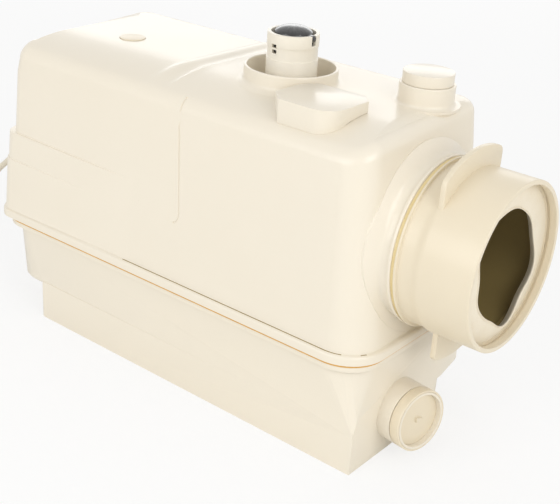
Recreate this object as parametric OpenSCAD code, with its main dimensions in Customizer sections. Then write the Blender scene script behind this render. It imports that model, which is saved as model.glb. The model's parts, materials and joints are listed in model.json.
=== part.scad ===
/* [Cover] */
// Length of the cover over its lip
cover_len = 372; // [350:1:400]
// Depth of the cover over its lip
cover_dep = 165; // [158:1:175]
// Height of the seam above the floor
seam_h = 82; // [78:1:88]
// Height of the flat top above the floor
top_h = 234; // [228:1:245]
// Drop of the soft front arc below the flat top
arc_drop = 12; // [6:1:18]
// Radius of the edge between the top and the walls
top_fillet = 9; // [5:1:10]
// Plan radius of the lip's corners
lip_r = 30; // [24:1:34]
// Height of the lip
lip_h = 10; // [8:1:14]
// Wall of the cover
cover_wall = 3; // [2.4:0.1:3.6]
// Height of the upper step line at the left end
step_h = 155; // [145:1:165]

/* [Tank] */
// Wall of the tank
tank_wall = 3; // [2.4:0.1:3.6]
// Height of the recessed base skirt
skirt_h = 30; // [26:1:34]
// Length of the base skirt
skirt_len = 322; // [310:1:330]
// Depth of the base skirt
skirt_dep = 113; // [100:1:118]

/* [Toilet inlet] */
// Height of the inlet axis above the floor
inlet_h = 153.5; // [148:0.5:158]
// Inside diameter of the collar, for a 110 mm pipe
inlet_bore = 111.4; // [110.8:0.1:112]
// Wall of the collar drum
drum_wall = 3.3; // [2.6:0.1:4]
// How far the collar stands out of the inlet boss
collar_len = 55; // [48:1:62]
// Thickness of the two wing lugs
lug_t = 4; // [3:0.5:5]

/* [Side inlet] */
// Outside diameter of the side inlet ring
stub_d = 45.4; // [42:0.2:48]
// How far the side inlet stands out of the tank
stub_len = 25; // [20:1:30]

/* [Top fittings] */
// Outside diameter of the discharge tube
tube_d = 36.8; // [34:0.2:40]
// Height of the discharge tube's mouth above the flat top
tube_rise = 35; // [28:1:42]
// Outside diameter of the dish round the discharge tube
dish_d = 67.6; // [62:0.2:72]
// Outside diameter of the capped top inlet
neck_d = 39; // [36:0.5:42]
// Height of the top inlet's cap above the flat top
cap_rise = 22; // [18:1:26]
// Height of the filter lid above the flat top
lid_rise = 8; // [6:0.5:10]

/* [Pump] */
// Outside diameter of the motor housing
motor_d = 84; // [78:1:88]
// Room between the motor and the inside of the cover's top
motor_room = 35; // [31:1:43]
// Outside diameter of the impeller
impeller_d = 52; // [46:1:54]
// Diameter of the motor shaft in its bearings
shaft_d = 12; // [10:0.5:14]

/* [Cord] */
// Diameter of the mains lead
cord_d = 5.5; // [5:0.1:6]

/* [Hidden] */
$fn = 64;

// Clearances and overruns
fit_gap = 0.3;
run_gap = 0.05;
over = 2;

// Colours
ivory = [0.94, 0.91, 0.83];
ivory_dark = [0.90, 0.86, 0.76];
seal_brown = [0.62, 0.40, 0.16];
rubber_black = [0.08, 0.08, 0.09];
steel = [0.72, 0.73, 0.75];
copper = [0.72, 0.42, 0.22];
grey = [0.45, 0.46, 0.48];

// Cover wall, as insets from the lip's outline
half_len = cover_len / 2;
half_dep = cover_dep / 2;
lip_in = 4;
step_in = 5.5;
step_front = 2;
line_in = 0.8;
line_rise = 50.5;
line_h = seam_h + line_rise;
top_in_left = 18;
top_in_right = 17;
top_in_front = 11.5;
top_in_back = 8.5;
wall_r = lip_r - lip_in;
top_r = 20;
lip_top = seam_h + lip_h;
lip_bead = 1.5;
step_fade_x = -33;
line_fade_x = -83;
ledge = 1;
arc_start = -18;
corner_steps = 6;
fillet_steps = 4;
arc_steps = 4;
arc_shrink = 1.2;

// Places on the top of the cover
tube_x = 52;
neck_x = 145;
neck_y = 32;
pump_x = -101;
pump_y = -7;

// Groove down the front of the cover
groove_x = 18;
groove_w = 1.4;
groove_deep = 1;
groove_end = 141;
groove_curl = 8;
groove_turn = 70;
groove_top = top_h - arc_drop - 2;
groove_reach = 25;

// Dish and discharge tube
tube_r = tube_d / 2;
tube_wall = 2.6;
tube_top = top_h + tube_rise;
tube_lip_h = 9;
band_in = 0.5;
band_h = 9;
dish_r = dish_d / 2;
dish_wall = 2.2;
dish_rise = 11;
dish_floor = top_h - 18;
dish_floor_t = 3;
dish_flare = 6;
flare_steps = 5;
tube_flange_r = tube_r + 6;
tube_flange_t = 3.4;
spigot_r = 11;
spigot_len = 20;
spigot_wall = 2;
window_w = 4.5;
window_h = 6.5;
window_bar = 1.2;
window_x = -2.5;
window_rise = 21.5;
window_z = top_h + window_rise;
slot_w = 4.6;
slot_deep = 7;
seal_t = 1.6;
tube_low = dish_floor - dish_floor_t - seal_t - tube_flange_t;

// Non-return valve
valve_wall = 3;
valve_h = 22;
flap_r = 13.6;
flap_band = 4;
flap_dome = 5.5;
flap_sink = 5;
pin_r = 1;
pin_len = 8;
flap_z = tube_top - flap_sink;
lug_r = 2.4;
hinge_x = tube_x + tube_r - lug_r;
hinge_sink = 2.4;
hinge_z = tube_top - hinge_sink;
lug_w = 3.6;

// Capped top inlet
neck_r = neck_d / 2;
neck_wall = 2.4;
neck_rise = 14;
neck_flare = 4;
cap_r = neck_r - 1.7;
cap_wall = 2;
cap_skirt = 16;

// Filter lid, its seat and the filter
lid_top = top_h + lid_rise;
lid_x0 = 79;
lid_x1 = 133.5;
lid_y0 = -62.5;
lid_y1 = -12.5;
lid_cut = 12;
lid_cut_back = 8;
lid_wall = 2.2;
lid_round = 15;
lid_skirt = 8;
filter_gap_in = 12;
filter_t = 12;
tray_wall = 2;
tray_deep = 20;
tray_floor = top_h - tray_deep;
vent_r = 3;

// Service plug over the motor shaft
service_r = 10;
service_head = 2;
service_sink = 1.2;
service_stem_r = 7.6;
service_stem = 7;

// Inlet boss, collar and lip seal
drum_r = inlet_bore / 2 + drum_wall;
boss_r = drum_r - 1.6;
boss_x = 187.5;
boss_back = 168;
boss_ring_r = drum_r + 1;
boss_ring_t = 2.6;
seal_gap = 2.4;
sleeve_r = boss_r - 2.6;
sleeve_wall = 2.6;
sleeve_in = 16;
drum_back = boss_x + seal_gap;
drum_front = boss_x + collar_len + seal_gap;
back_ring_t = 1.6;
face_deep = 7.2;
seat_len = 5;
seat_relief = 1.5;
face_t = 2.4;
seat_step = 1.4;
shoulder_w = 4;
shoulder_t = 3;
lug_x = drum_back + 16;
top_lug_r = 73;
low_lug_r = 81;
top_lug_y = [-42, 31];
low_lug_y = [-26, 22];
mouth_y = 1;
mouth_z = inlet_h - 2.5;
mouth_r = 42;
mouth_points = 72;
mouth_lip = 2;
mouth_bead = 1;
mouth_cos_share = [0, 0, -0.031, 0.002, -0.010];
mouth_sin_share = [0, 0, -0.131, 0.033, 0.017];

// Tank
rim_in = 2;
rim_t = 4;
rim_ledge = 1;
gasket_t = 2;
gasket_in = 1.4;
rim_top = seam_h - gasket_t;
tank_in_left = 12;
tank_in_right = 4;
tank_in_side = 3.5;
tank_r = lip_r - 1;
tank_draft = 7;
tank_draft_side = 2.5;
low_r = 20;
edge_r = 3;
skirt_x1 = half_len - 2;
skirt_x0 = skirt_x1 - skirt_len;
skirt_y0 = -half_dep + 5.5;
skirt_y1 = skirt_y0 + skirt_dep;
skirt_r = 6;
facet_drop = 10;
facet_top = rim_top - facet_drop;
facet_y_share = [0, 0.03, 0.34, 0.65, 0.83, 1, 1];
facet_z_share = [0, 0.3, 0.5, 0.7, 1, 0.75, 0];
facet_t = 0.5;
hull_slab = 0.2;
floor_t = 3.5;
ear_x = [-110, 150];
ear_r = 10;
ear_t = 5;
ear_hole_r = 3.5;
ear_y = skirt_y1 + 11;
post_r = 5;

// Side inlet: where its axis leaves the tank's end, and its turn and tilt
stub_y = -24.7;
stub_z = 31.3;
stub_turn = 12;
stub_tilt = 4;
stub_r = stub_d / 2;
stub_wall = 3.2;
ring_len = 8;
stub_plug_in = 4;
stub_plug_t = 3;
stub_groove = 0.5;
stub_plug_skirt = 8;
stub_rib = 2;

// Pump deck and what it carries
deck_t = 4;
deck_drop = 10;
deck_z = rim_top - deck_drop;
deck_x0 = -half_len + tank_in_left + tank_wall + 5;
deck_x1 = 2;
deck_y = half_dep - tank_in_side - tank_wall - 5.5;
deck_r = 18;
deck_top = deck_z + deck_t;
post_xy = [[deck_x0 + 14, -52], [deck_x0 + 14, 52], [deck_x1 - 12, -60], [deck_x1 - 12, 58]];
screw_r = 2;
screw_head_r = 3.8;
screw_head_t = 2.4;
screw_x = -half_len + 7.5;
screw_y = [-45, 45];
screw_boss_r = 4.4;
screw_boss_h = 18;
screw_grip = 12;
motor_r = motor_d / 2;
can_wall = 2;
motor_flange_r = motor_r + 6;
flange_t = 4;
cap_t = 10;
motor_h = top_h - cover_wall - motor_room - cap_t - deck_top;
motor_top = deck_top + motor_h;
stator_lift = 14;
stator_z = deck_top + stator_lift;
stator_len = motor_h - stator_lift * 2;
air_gap = 0.5;
rotor_r = motor_r * 0.5;
shaft_r = shaft_d / 2;
core_shaft_r = shaft_r + 2;
tail_r = shaft_r - 1;
bearing_r = shaft_r + 10;
bearing_t = 10;
upper_z = motor_top - bearing_t / 2;
lower_z = deck_z - flange_t - bearing_t;
coil_head = 6;
bracket_flange_r = motor_flange_r;
motor_screw_r = motor_flange_r - 3;
motor_screw_count = 4;
thin_screw_r = 1.5;
thin_head_r = 2.8;
pump_top = 36;
plate_t = 3;
volute_room = 6.5;
volute_r = impeller_d / 2 + volute_room;
bracket_out = 0.5;
bracket_r = volute_r + bracket_out;
volute_wall = 3;
pump_low = 13;
pump_eye_r = 13;
nozzle_r = 11;
nozzle_out = 20;
nozzle_y = pump_y + nozzle_out;
nozzle_z = 24.5;
nozzle_len = 12;
nozzle_x = pump_x + volute_r + nozzle_len;
impeller_t = 13;
blade_t = 2.4;
blade_count = 6;
hub_r = 9;
cutter_ring_r = 20;
cutter_t = 4;
cutter_r = pump_eye_r - 0.6;
cutter_ring_in = pump_eye_r - 0.2;
shaft_low = pump_low - cutter_t - 0.5;
shaft_top = motor_top + cap_t + 8;
seal_r = shaft_r + 7;
seal_len = 12;
seal_z = lower_z - seal_len - over;
impeller_z = pump_top - impeller_t - 2.5;
cutter_gap = 3;

// Internal hose, one point per bend, from the pump nozzle to the discharge tube
hose_wall = 2.6;
hose_r = nozzle_r + fit_gap;
hose_sides = 14;
hose_steps = 18;
hose_slide = 12;
hose_low_gap = 1;
hose_start = [nozzle_x - hose_slide, nozzle_y, nozzle_z];
hose_end = [tube_x, 0, tube_low - plate_t - hose_low_gap];
hose_straight = 14;
hose_from = hose_start + [hose_straight, 0, 0];
hose_to = hose_end - [0, 0, hose_straight];
hose_reach = 90;
clamp_w = 8;
clamp_t = 1.2;

// Air bell and level switch
bell_x = -25;
bell_y = -35;
bell_r = 11;
bell_low = 12;
bell_wall = 1.8;
switch_r = 18;
switch_h = 16;
plunger_r = 4;
plunger_h = 6;
plunger_gap = 3;
diaphragm_r = 13;
diaphragm_t = 1.2;

// Control box
box_x0 = -47;
box_x1 = -3;
box_y0 = -10;
box_y1 = 50;
box_h = 78;
box_wall = 2;
box_lid_t = 3;
board_t = 1.6;
cap_body_r = 13;
cap_body_h = 46;
board_gap = 3;
relay_w = 18;
relay_t = 8;

// Gland, cord, coil and plug
cord_r = cord_d / 2;
gland_y = 0;
gland_z = 120;
gland_x = -half_len + 3;
gland_thread_r = 6;
gland_pad_r = 12;
gland_pad_t = 8;
gland_hex_r = 10;
gland_out = 8;
gland_in = 10;
nut_t = 5;
boot_r = 6;
boot_len = 24;
boot_tip = 1.4;

// Free stretch of the mains lead, from the boot to the coil
cord_sides = 8;
cord_points = [[-215, 0, 120], [-221, 0, 120], [-233, -1, 114], [-245, -2, 105], [-257, -3, 94],
    [-269, -5, 83], [-280, -6, 73], [-291, -8, 61], [-300, -10, 49], [-309, -12, 37],
    [-319, -15, 25], [-331, -18, 14], [-344, -20, 7], [-357, -20, 4], [-363, -20, 4]];

// Coil of the lead: in along the lower layer, up a layer, and out along the upper one
coil_sides = 6;
loop_steps = 24;
coil_r = 37.5;
coil_pitch = 6.2;
coil_turn = 720;
coil_climb = 180;
coil_dip = 1.5;
coil_out_turn = 75;
coil_out = 12;
coil_end = coil_turn * 2 + coil_climb;
coil_low = 4;
coil_at = cord_points[len(cord_points) - 1] - [cord_d, coil_r, 0];
coil_inner = coil_r - coil_pitch * coil_turn / 360;
tie_w = 8;
tie_t = 0.9;

// Mains plug and its pins
plug_w = 38;
plug_len = 34;
plug_r = coil_low + coil_pitch;
plug_boot = 24;
plug_boot_r = 6.5;
plug_pin_r = 2.4;
plug_pin_len = 19;
plug_pin_gap = 9.5;

module about_x() { translate([0, 0, inlet_h]) rotate([0, 90, 0]) children(); }
module at_pump() { translate([pump_x, pump_y, 0]) children(); }
module ringed(r0, r1, z0, z1) {
    rotate_extrude() translate([r0, z0]) square([r1 - r0, z1 - z0]);
}
module rounded(x0, x1, y0, y1, r, h) {
    linear_extrude(h) {
        translate([x0 + r, y0]) square([x1 - x0 - 2 * r, y1 - y0]);
        translate([x0, y0 + r]) square([x1 - x0, y1 - y0 - 2 * r]);
        for (x = [x0 + r, x1 - r], y = [y0 + r, y1 - r]) translate([x, y]) circle(r);
    }
}

function mix(a, b, t) = a + (b - a) * t;
function quarter(x, y, r, a0) =
    [for (i = [0:corner_steps]) let (a = a0 + 90 * i / corner_steps) [x + r * cos(a), y + r * sin(a)]];
function outline(x0, x1, y0, y1, r) = concat(
    quarter(x1 - r, y0 + r, r, -90), quarter(x1 - r, y1 - r, r, 0),
    quarter(x0 + r, y1 - r, r, 90), quarter(x0 + r, y0 + r, r, 180),
    [[line_fade_x, y0], [step_fade_x, y0]]);

// How far the front arc has dropped at a given depth
function drop(y) = arc_drop * pow(max(0, (arc_start - y) / (arc_start + half_dep - top_in_front)), 2);

// Plan of the cover wall at a height, moved inwards by g and by an inset of its own
function wall_at(z, g, inset) =
    let (t = (z - lip_top) / (top_h - lip_top))
    outline(-half_len + mix(lip_in + step_in, top_in_left, t) + g + inset,
        half_len - mix(lip_in, top_in_right, t) - g - inset,
        -half_dep + mix(lip_in, top_in_front, t) + g + inset,
        half_dep - mix(lip_in, top_in_back, t) - g - inset,
        mix(wall_r, top_r, t) - g - inset);

// Share of a left-end step that a point takes, fading to nothing along the front
function left_share(x, fade) = max(0, (fade - x) / (fade + half_len - lip_in));
function stepped(p, a, b) =
    let (s = a * left_share(p[0], step_fade_x), l = b * left_share(p[0], line_fade_x),
        side = p[1] > 0 ? 1 : -1)
    [p[0] - s * step_in - l * line_in, p[1] + side * (s * step_front + l * line_in)];

function level(z, g, a, b) = [for (p = wall_at(z, g, 0)) let (q = stepped(p, a, b)) [q[0], q[1], z]];
function fillet_level(g, angle) =
    let (f = top_fillet - g * 0.5)
    [for (p = wall_at(top_h, g, f * (1 - cos(angle))))
        [p[0], p[1], top_h - g - drop(p[1]) - f * (1 - sin(angle))]];
function arc_level(g, k) =
    let (f = top_fillet - g * 0.5, s = k / arc_steps, e = arc_shrink * k)
    [for (p = outline(-half_len + top_in_left + g + f + e, half_len - top_in_right - g - f - e,
            mix(-half_dep + top_in_front + g + f, arc_start, s), half_dep - top_in_back - g - f - e,
            top_r - g - f - e))
        [p[0], p[1], top_h - g - drop(p[1])]];
function cover_levels(g, low) = concat(
    [level(low, g, 1, 1), level(line_h, g, 1, 1), level(line_h + ledge, g, 1, 0),
        level(step_h - ledge, g, 1, 0), level(step_h + ledge, g, 0, 0)],
    [for (i = [0:fillet_steps]) fillet_level(g, 90 * i / fillet_steps)],
    [for (k = [1:arc_steps]) arc_level(g, k)]);

// A closed skin over rings of equal length, lowest first, each end closed by a fan
function middle(r) = [for (c = [0:2]) [for (p = r) p[c]] * [for (p = r) 1] / len(r)];
module skin(rings) {
    n = len(rings[0]);
    m = len(rings);
    k1 = m * n;
    polyhedron(
        points = concat([for (r = rings) each r], [middle(rings[0]), middle(rings[m - 1])]),
        faces = concat(
            [for (i = [0:n - 1]) [i, (i + 1) % n, k1]],
            [for (i = [0:n - 1]) [k1 - n + (i + 1) % n, k1 - n + i, k1 + 1]],
            [for (k = [0:m - 2], i = [0:n - 1])
                [k * n + i, (k + 1) * n + i, (k + 1) * n + (i + 1) % n]],
            [for (k = [0:m - 2], i = [0:n - 1])
                [k * n + i, (k + 1) * n + (i + 1) % n, k * n + (i + 1) % n]]));
}
module cover_body(g, low) { skin(cover_levels(g, low)); }

// Sweep of a round section along a list of points, with an inner bore where r_in is over zero
function unit(v) = v / norm(v);
function tangent(p, i) = unit(p[min(i + 1, len(p) - 1)] - p[max(i - 1, 0)]);
function side_of(t) = unit(cross(abs(t[2]) > 0.9 ? [0, 1, 0] : [0, 0, 1], t));
function frame_at(p, i) = i == 0 ? side_of(tangent(p, 0)) :
    let (t = tangent(p, i), s = frame_at(p, i - 1)) unit(s - (s * t) * t);
function tube_ring(c, t, s, r, n) = [for (j = [0:n - 1]) let (a = 360 * j / n)
    c + r * (cos(a) * s + sin(a) * cross(t, s))];
module sweep(p, r, n) {
    m = len(p);
    rings = [for (i = [0:m - 1]) tube_ring(p[i], tangent(p, i), frame_at(p, i), r, n)];
    polyhedron(
        points = [for (q = rings) each q],
        faces = concat(
            [[for (i = [0:n - 1]) i]],
            [[for (i = [0:n - 1]) m * n - 1 - i]],
            [for (k = [0:m - 2], i = [0:n - 1])
                [k * n + i, (k + 1) * n + i, (k + 1) * n + (i + 1) % n]],
            [for (k = [0:m - 2], i = [0:n - 1])
                [k * n + i, (k + 1) * n + (i + 1) % n, k * n + (i + 1) % n]]));
}

// Outline of the opening in the lip seal: a circle with three soft lobes laid over it
function mouth_radius(a) = mouth_r * (1 + [for (k = [2:4]) mouth_cos_share[k] * cos(k * a)
    + mouth_sin_share[k] * sin(k * a)] * [1, 1, 1]);
mouth_shape = [for (i = [0:mouth_points - 1]) let (a = 360 * i / mouth_points, r = mouth_radius(a))
    [r * cos(a), r * sin(a)]];

module cover() {
    color(ivory) difference() {
        union() {
            difference() {
                union() {
                    cover_body(0, seam_h);
                    translate([0, 0, seam_h]) lip();
                    translate([tube_x, 0, 0]) dish_outside(0);
                    translate([neck_x, neck_y, 0]) neck_outside();
                    about_x() ringed(0, boss_r, boss_back - over, boss_x);
                    about_x() ringed(0, boss_ring_r, boss_x - boss_ring_t, boss_x);
                    gland_boss(gland_x);
                }
                cover_body(cover_wall, seam_h - over);
            }
            intersection() {
                cover_body(cover_wall / 2, seam_h);
                union() {
                    translate([tube_x, 0, 0]) ringed(0, dish_r, dish_floor - dish_floor_t, top_h);
                    translate([pump_x, pump_y, top_h - service_stem - cover_wall])
                        cylinder(h = service_stem + cover_wall, r = service_r + cover_wall);
                    tray_outside();
                    gland_boss(gland_x);
                    for (y = screw_y)
                        translate([screw_x, y, seam_h]) cylinder(h = screw_boss_h, r = screw_boss_r);
                    about_x() ringed(sleeve_r, boss_r, boss_back - over, half_len);
                }
            }
        }
        translate([tube_x, 0, 0]) dish_inside();
        translate([neck_x, neck_y, top_h - cover_wall * 2])
            cylinder(h = neck_rise + cover_wall * 3, r = neck_r - neck_wall);
        about_x() translate([0, 0, boss_back - over * 2])
            cylinder(h = boss_x - boss_back + over * 4, r = sleeve_r + fit_gap);
        tray_inside();
        translate([pump_x, pump_y, 0]) service_hole();
        translate([gland_x - over, gland_y, gland_z]) rotate([0, 90, 0])
            cylinder(h = gland_pad_t + over * 2, r = gland_thread_r + fit_gap);
        front_groove();
        for (y = screw_y)
            translate([screw_x, y, seam_h - over]) cylinder(h = screw_grip + over, r = screw_r);
    }
}

module lip() {
    skin([for (q = [[0, 0], [0, lip_h - lip_bead], [lip_bead * 0.3, lip_h - lip_bead * 0.3],
            [lip_bead, lip_h]])
        [for (p = outline(-half_len + q[0], half_len - q[0], -half_dep + q[0], half_dep - q[0],
                lip_r - q[0]))
            [p[0], p[1], q[1]]]]);
}
// Profile of an upright wall with a hollow flare at its foot, g outside the surface
function flared(r, flare, rise, low, g) = concat([[0, top_h - low], [r + flare + g, top_h - low]],
    [for (i = [0:flare_steps]) let (a = 90 * i / flare_steps)
        [r + g + flare * (1 - sin(a)), top_h + g + flare * (1 - cos(a))]],
    [[r + g, top_h + rise], [0, top_h + rise]]);
module dish_outside(g) {
    rotate_extrude() polygon(flared(dish_r, dish_flare, dish_rise, cover_wall, g));
}
module neck_outside() {
    rotate_extrude() polygon(flared(neck_r, neck_flare, neck_rise, top_fillet, 0));
}
module dish_inside() {
    ringed(0, dish_r - dish_wall, dish_floor, top_h + dish_rise + over);
    ringed(0, tube_r + fit_gap, dish_floor - dish_floor_t - over, dish_floor + over);
}
// Outline of the filter lid, g inside its edge
function lid_outline(g) = let (x0 = lid_x0 + g, x1 = lid_x1 - g, y0 = lid_y0 + g, y1 = lid_y1 - g,
    c = lid_cut - g * 0.6, b = lid_cut_back - g * 0.6, r = lid_round - g)
    concat([[x0, y1 - c], [x0, y0 + c], [x0 + c, y0]],
        [for (i = [0:flare_steps]) let (a = -90 + 90 * i / flare_steps)
            [x1 - r + r * cos(a), y0 + r + r * sin(a)]],
        [[x1, y1 - b], [x1 - b, y1], [x0 + b, y1]]);
module lid_prism(g, z0, z1) { translate([0, 0, z0]) linear_extrude(z1 - z0) polygon(lid_outline(g)); }
module tray_outside() { lid_prism(lid_wall - tray_wall, tray_floor - tray_wall, top_h); }
module tray_inside() {
    lid_prism(lid_wall, tray_floor, lid_top);
    translate([(lid_x0 + lid_x1) / 2, (lid_y0 + lid_y1) / 2, tray_floor - tray_wall - over])
        cylinder(h = tray_wall + over * 2, r = vent_r);
}
module gland_boss(x) {
    translate([x, gland_y, gland_z]) rotate([0, 90, 0]) cylinder(h = gland_pad_t, r = gland_pad_r);
}
module service_hole() {
    translate([0, 0, top_h - service_stem - cover_wall - over])
        cylinder(h = service_stem + cover_wall + over * 2, r = service_stem_r + run_gap);
    translate([0, 0, top_h - service_sink]) cylinder(h = service_sink + over, r = service_r + fit_gap);
}
module front_groove() {
    difference() {
        translate([0, -half_dep + groove_reach, 0]) rotate([90, 0, 0])
            linear_extrude(groove_reach + over) {
                translate([groove_x - groove_w / 2, groove_end])
                    square([groove_w, groove_top - groove_end]);
                polygon(concat(
                    [for (i = [0:corner_steps]) groove_point(i, groove_curl + groove_w / 2)],
                    [for (i = [0:corner_steps])
                        groove_point(corner_steps - i, groove_curl - groove_w / 2)]));
            }
        cover_body(groove_deep, line_h - over);
    }
}
function groove_point(i, r) = let (a = groove_turn * i / corner_steps)
    [groove_x - groove_curl + r * cos(a), groove_end + 0.01 - r * sin(a)];

module cover_gasket() {
    color(seal_brown) difference() {
        translate([0, 0, rim_top]) rounded(-half_len + gasket_in, half_len - gasket_in,
            -half_dep + gasket_in, half_dep - gasket_in, lip_r - gasket_in, gasket_t);
        translate([0, 0, rim_top - over]) rim_hole(gasket_t + over * 2);
        for (y = screw_y)
            translate([screw_x, y, rim_top - over]) cylinder(h = gasket_t + over * 2, r = screw_r + fit_gap);
    }
}
module rim_hole(h) {
    w = tank_wall + rim_ledge;
    rounded(-half_len + tank_in_left + w, half_len - tank_in_right - w,
        -half_dep + tank_in_side + w, half_dep - tank_in_side - w, tank_r - w, h);
}
module screw(x, y, z, r, head_r, len) {
    translate([x, y, z]) cylinder(h = screw_head_t, r = head_r);
    translate([x, y, z - len]) cylinder(h = len + over / 2, r = r);
}
module cover_screws() {
    color(steel) for (y = screw_y) {
        translate([screw_x, y, rim_top - rim_t - screw_head_t]) cylinder(h = screw_head_t, r = screw_head_r);
        translate([screw_x, y, rim_top - rim_t - over / 2])
            cylinder(h = rim_t + gasket_t + screw_grip - over / 2, r = screw_r);
    }
}

module collar_seal() {
    color(seal_brown) about_x()
        ringed(sleeve_r + fit_gap, boss_ring_r - 1, boss_x, drum_back - run_gap);
}
module inlet_collar() {
    color(ivory_dark) about_x() {
        ringed(sleeve_r - sleeve_wall, sleeve_r, boss_x - sleeve_in, drum_back + back_ring_t);
        ringed(sleeve_r - sleeve_wall, boss_ring_r, drum_back, drum_back + back_ring_t);
        ringed(inlet_bore / 2 - seat_step, drum_r, drum_back, drum_front - face_deep);
        ringed(inlet_bore / 2 + seat_relief, drum_r, drum_front - face_deep, drum_front - seat_len);
        ringed(inlet_bore / 2, drum_r, drum_front - seat_len, drum_front);
        ringed(inlet_bore / 2 - shoulder_w, drum_r - drum_wall / 2,
            drum_front - face_deep - face_t - shoulder_t, drum_front - face_deep - face_t);
        lug(top_lug_r, top_lug_y, -1);
        lug(low_lug_r, low_lug_y, 0);
    }
}
module lug(r, y, side) {
    intersection() {
        ringed(drum_r - drum_wall / 2, r, lug_x, lug_x + lug_t);
        translate([side * (r + over), y[0], lug_x - over]) cube([r + over, y[1] - y[0], lug_t + over * 2]);
    }
}
function mouth_at(w) = [for (i = [0:mouth_points - 1]) let (a = 360 * i / mouth_points,
    r = mouth_radius(a) + w) [inlet_h - mouth_z - r * sin(a), mouth_y + r * cos(a)]];
module lip_seal() {
    color(ivory_dark) about_x() translate([0, 0, drum_front - face_deep - face_t]) {
        difference() {
            cylinder(h = face_t, r = inlet_bore / 2 - seat_step);
            translate([0, 0, -over]) linear_extrude(face_t + over * 2) polygon(mouth_at(0));
        }
        linear_extrude(face_t + mouth_bead) difference() {
            polygon(mouth_at(mouth_lip));
            polygon(mouth_at(0));
        }
    }
}

module top_cap() {
    color(ivory) translate([neck_x, neck_y, top_h]) difference() {
        union() {
            ringed(0, cap_r, neck_rise + run_gap, cap_rise);
            ringed(0, neck_r - neck_wall - run_gap, neck_rise - cap_skirt, neck_rise + over);
        }
        translate([0, 0, neck_rise - cap_skirt - over])
            cylinder(h = cap_skirt + cap_rise - neck_rise - cap_wall + over,
                r = neck_r - neck_wall - cap_wall);
    }
}
module filter_lid() {
    color(ivory) difference() {
        union() {
            difference() {
                lid_prism(0, top_h - arc_drop, lid_top);
                cover_body(-fit_gap, line_h);
                translate([tube_x, 0, 0]) dish_outside(fit_gap);
            }
            lid_prism(lid_wall + fit_gap, top_h - lid_skirt, lid_top - lid_wall / 2);
        }
        lid_prism(lid_wall * 2 + fit_gap, top_h - lid_skirt - over, lid_top - lid_wall);
    }
}
module carbon_filter() {
    color(rubber_black) lid_prism(filter_gap_in, tray_floor, tray_floor + filter_t);
}
module service_plug() {
    color(ivory_dark) at_pump() translate([0, 0, top_h - service_sink]) {
        cylinder(h = service_head, r = service_r);
        ringed(service_stem_r - cap_wall, service_stem_r, -service_stem, service_head / 2);
    }
}

module discharge_tube() {
    color(ivory) translate([tube_x, 0, 0]) difference() {
        union() {
            ringed(tube_r - tube_wall, tube_r, tube_low, tube_top);
            ringed(tube_r - over / 2, tube_flange_r, tube_low, tube_low + tube_flange_t);
            ringed(tube_r - over / 2, tube_r + fit_gap - run_gap, tube_low + tube_flange_t, dish_floor);
            ringed(spigot_r - spigot_wall, tube_r, tube_low - plate_t, tube_low + over / 2);
            ringed(spigot_r - spigot_wall, spigot_r, tube_low - spigot_len, tube_low);
        }
        ringed(tube_r - band_in, tube_r + over, tube_top - tube_lip_h - band_h, tube_top - tube_lip_h);
        translate([0, -slot_w / 2, tube_top - slot_deep])
            cube([tube_r + over, slot_w, slot_deep + over]);
        for (z = [0, window_h / 2 + window_bar / 2])
            translate([window_x - window_w / 2, -tube_r - over, window_z + z])
                cube([window_w, tube_r / 2, window_h / 2 - window_bar / 2]);
        translate([hinge_x - tube_x, -pin_len / 2, hinge_z]) rotate([-90, 0, 0])
            cylinder(h = pin_len, r = pin_r, $fn = 24);
    }
}
module tube_seal() {
    color(seal_brown) translate([tube_x, 0, 0])
        ringed(tube_r + fit_gap - run_gap, tube_flange_r, tube_low + tube_flange_t, dish_floor - dish_floor_t);
}
module valve_body() {
    color(rubber_black) translate([tube_x, 0, 0]) difference() {
        ringed(tube_r - tube_wall - valve_wall, tube_r - tube_wall, flap_z - valve_h, flap_z);
        translate([flap_r, -slot_w / 2, tube_top - slot_deep]) cube([tube_r, slot_w, slot_deep]);
    }
}
module flap_pin() {
    color(steel) translate([hinge_x, -pin_len / 2, hinge_z]) rotate([-90, 0, 0])
        cylinder(h = pin_len, r = pin_r, $fn = 24);
}
module valve_flap() {
    color(rubber_black) difference() {
        union() {
            translate([tube_x, 0, flap_z + run_gap]) rotate_extrude() polygon(concat(
                [[0, 0], [flap_r, 0]],
                [for (i = [0:corner_steps]) let (a = 90 * i / corner_steps)
                    [flap_r * cos(a), flap_band + flap_dome * sin(a)]]));
            translate([tube_x + flap_r / 2, -lug_w / 2, flap_z + run_gap])
                cube([hinge_x - tube_x - flap_r / 2, lug_w, hinge_z + lug_r - flap_z - run_gap]);
            translate([hinge_x, -lug_w / 2, hinge_z]) rotate([-90, 0, 0])
                cylinder(h = lug_w, r = lug_r, $fn = 32);
        }
        translate([hinge_x, -lug_w, hinge_z]) rotate([-90, 0, 0])
            cylinder(h = lug_w * 2, r = pin_r + run_gap, $fn = 24);
    }
}

// Upper tier of the tank, g inside its outer surface, from a floor height up to the rim
module tier(g, low) {
    hull($fn = 32) {
        translate([0, 0, rim_top - rim_t]) tier_slab(g, 0, hull_slab);
        translate([0, 0, low + edge_r]) tier_slab(g, 1, hull_slab);
        translate([0, 0, low]) tier_slab(g + edge_r * 0.7, 1, hull_slab);
        if (g == 0) {
            translate([skirt_x1 - facet_t, 0, 0]) rotate([90, 0, 90]) linear_extrude(facet_t)
                polygon([for (i = [0:len(facet_y_share) - 1]) [skirt_y0 + skirt_dep * facet_y_share[i],
                    skirt_h + (facet_top - skirt_h) * facet_z_share[i]]]);
        }
    }
}
module tier_slab(g, d, h) {
    rounded(-half_len + tank_in_left + g + tank_draft * d, half_len - tank_in_right - g,
        -half_dep + tank_in_side + g + tank_draft_side * d,
        half_dep - tank_in_side - g - tank_draft_side * d, mix(tank_r, low_r, d) - g, h);
}
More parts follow.
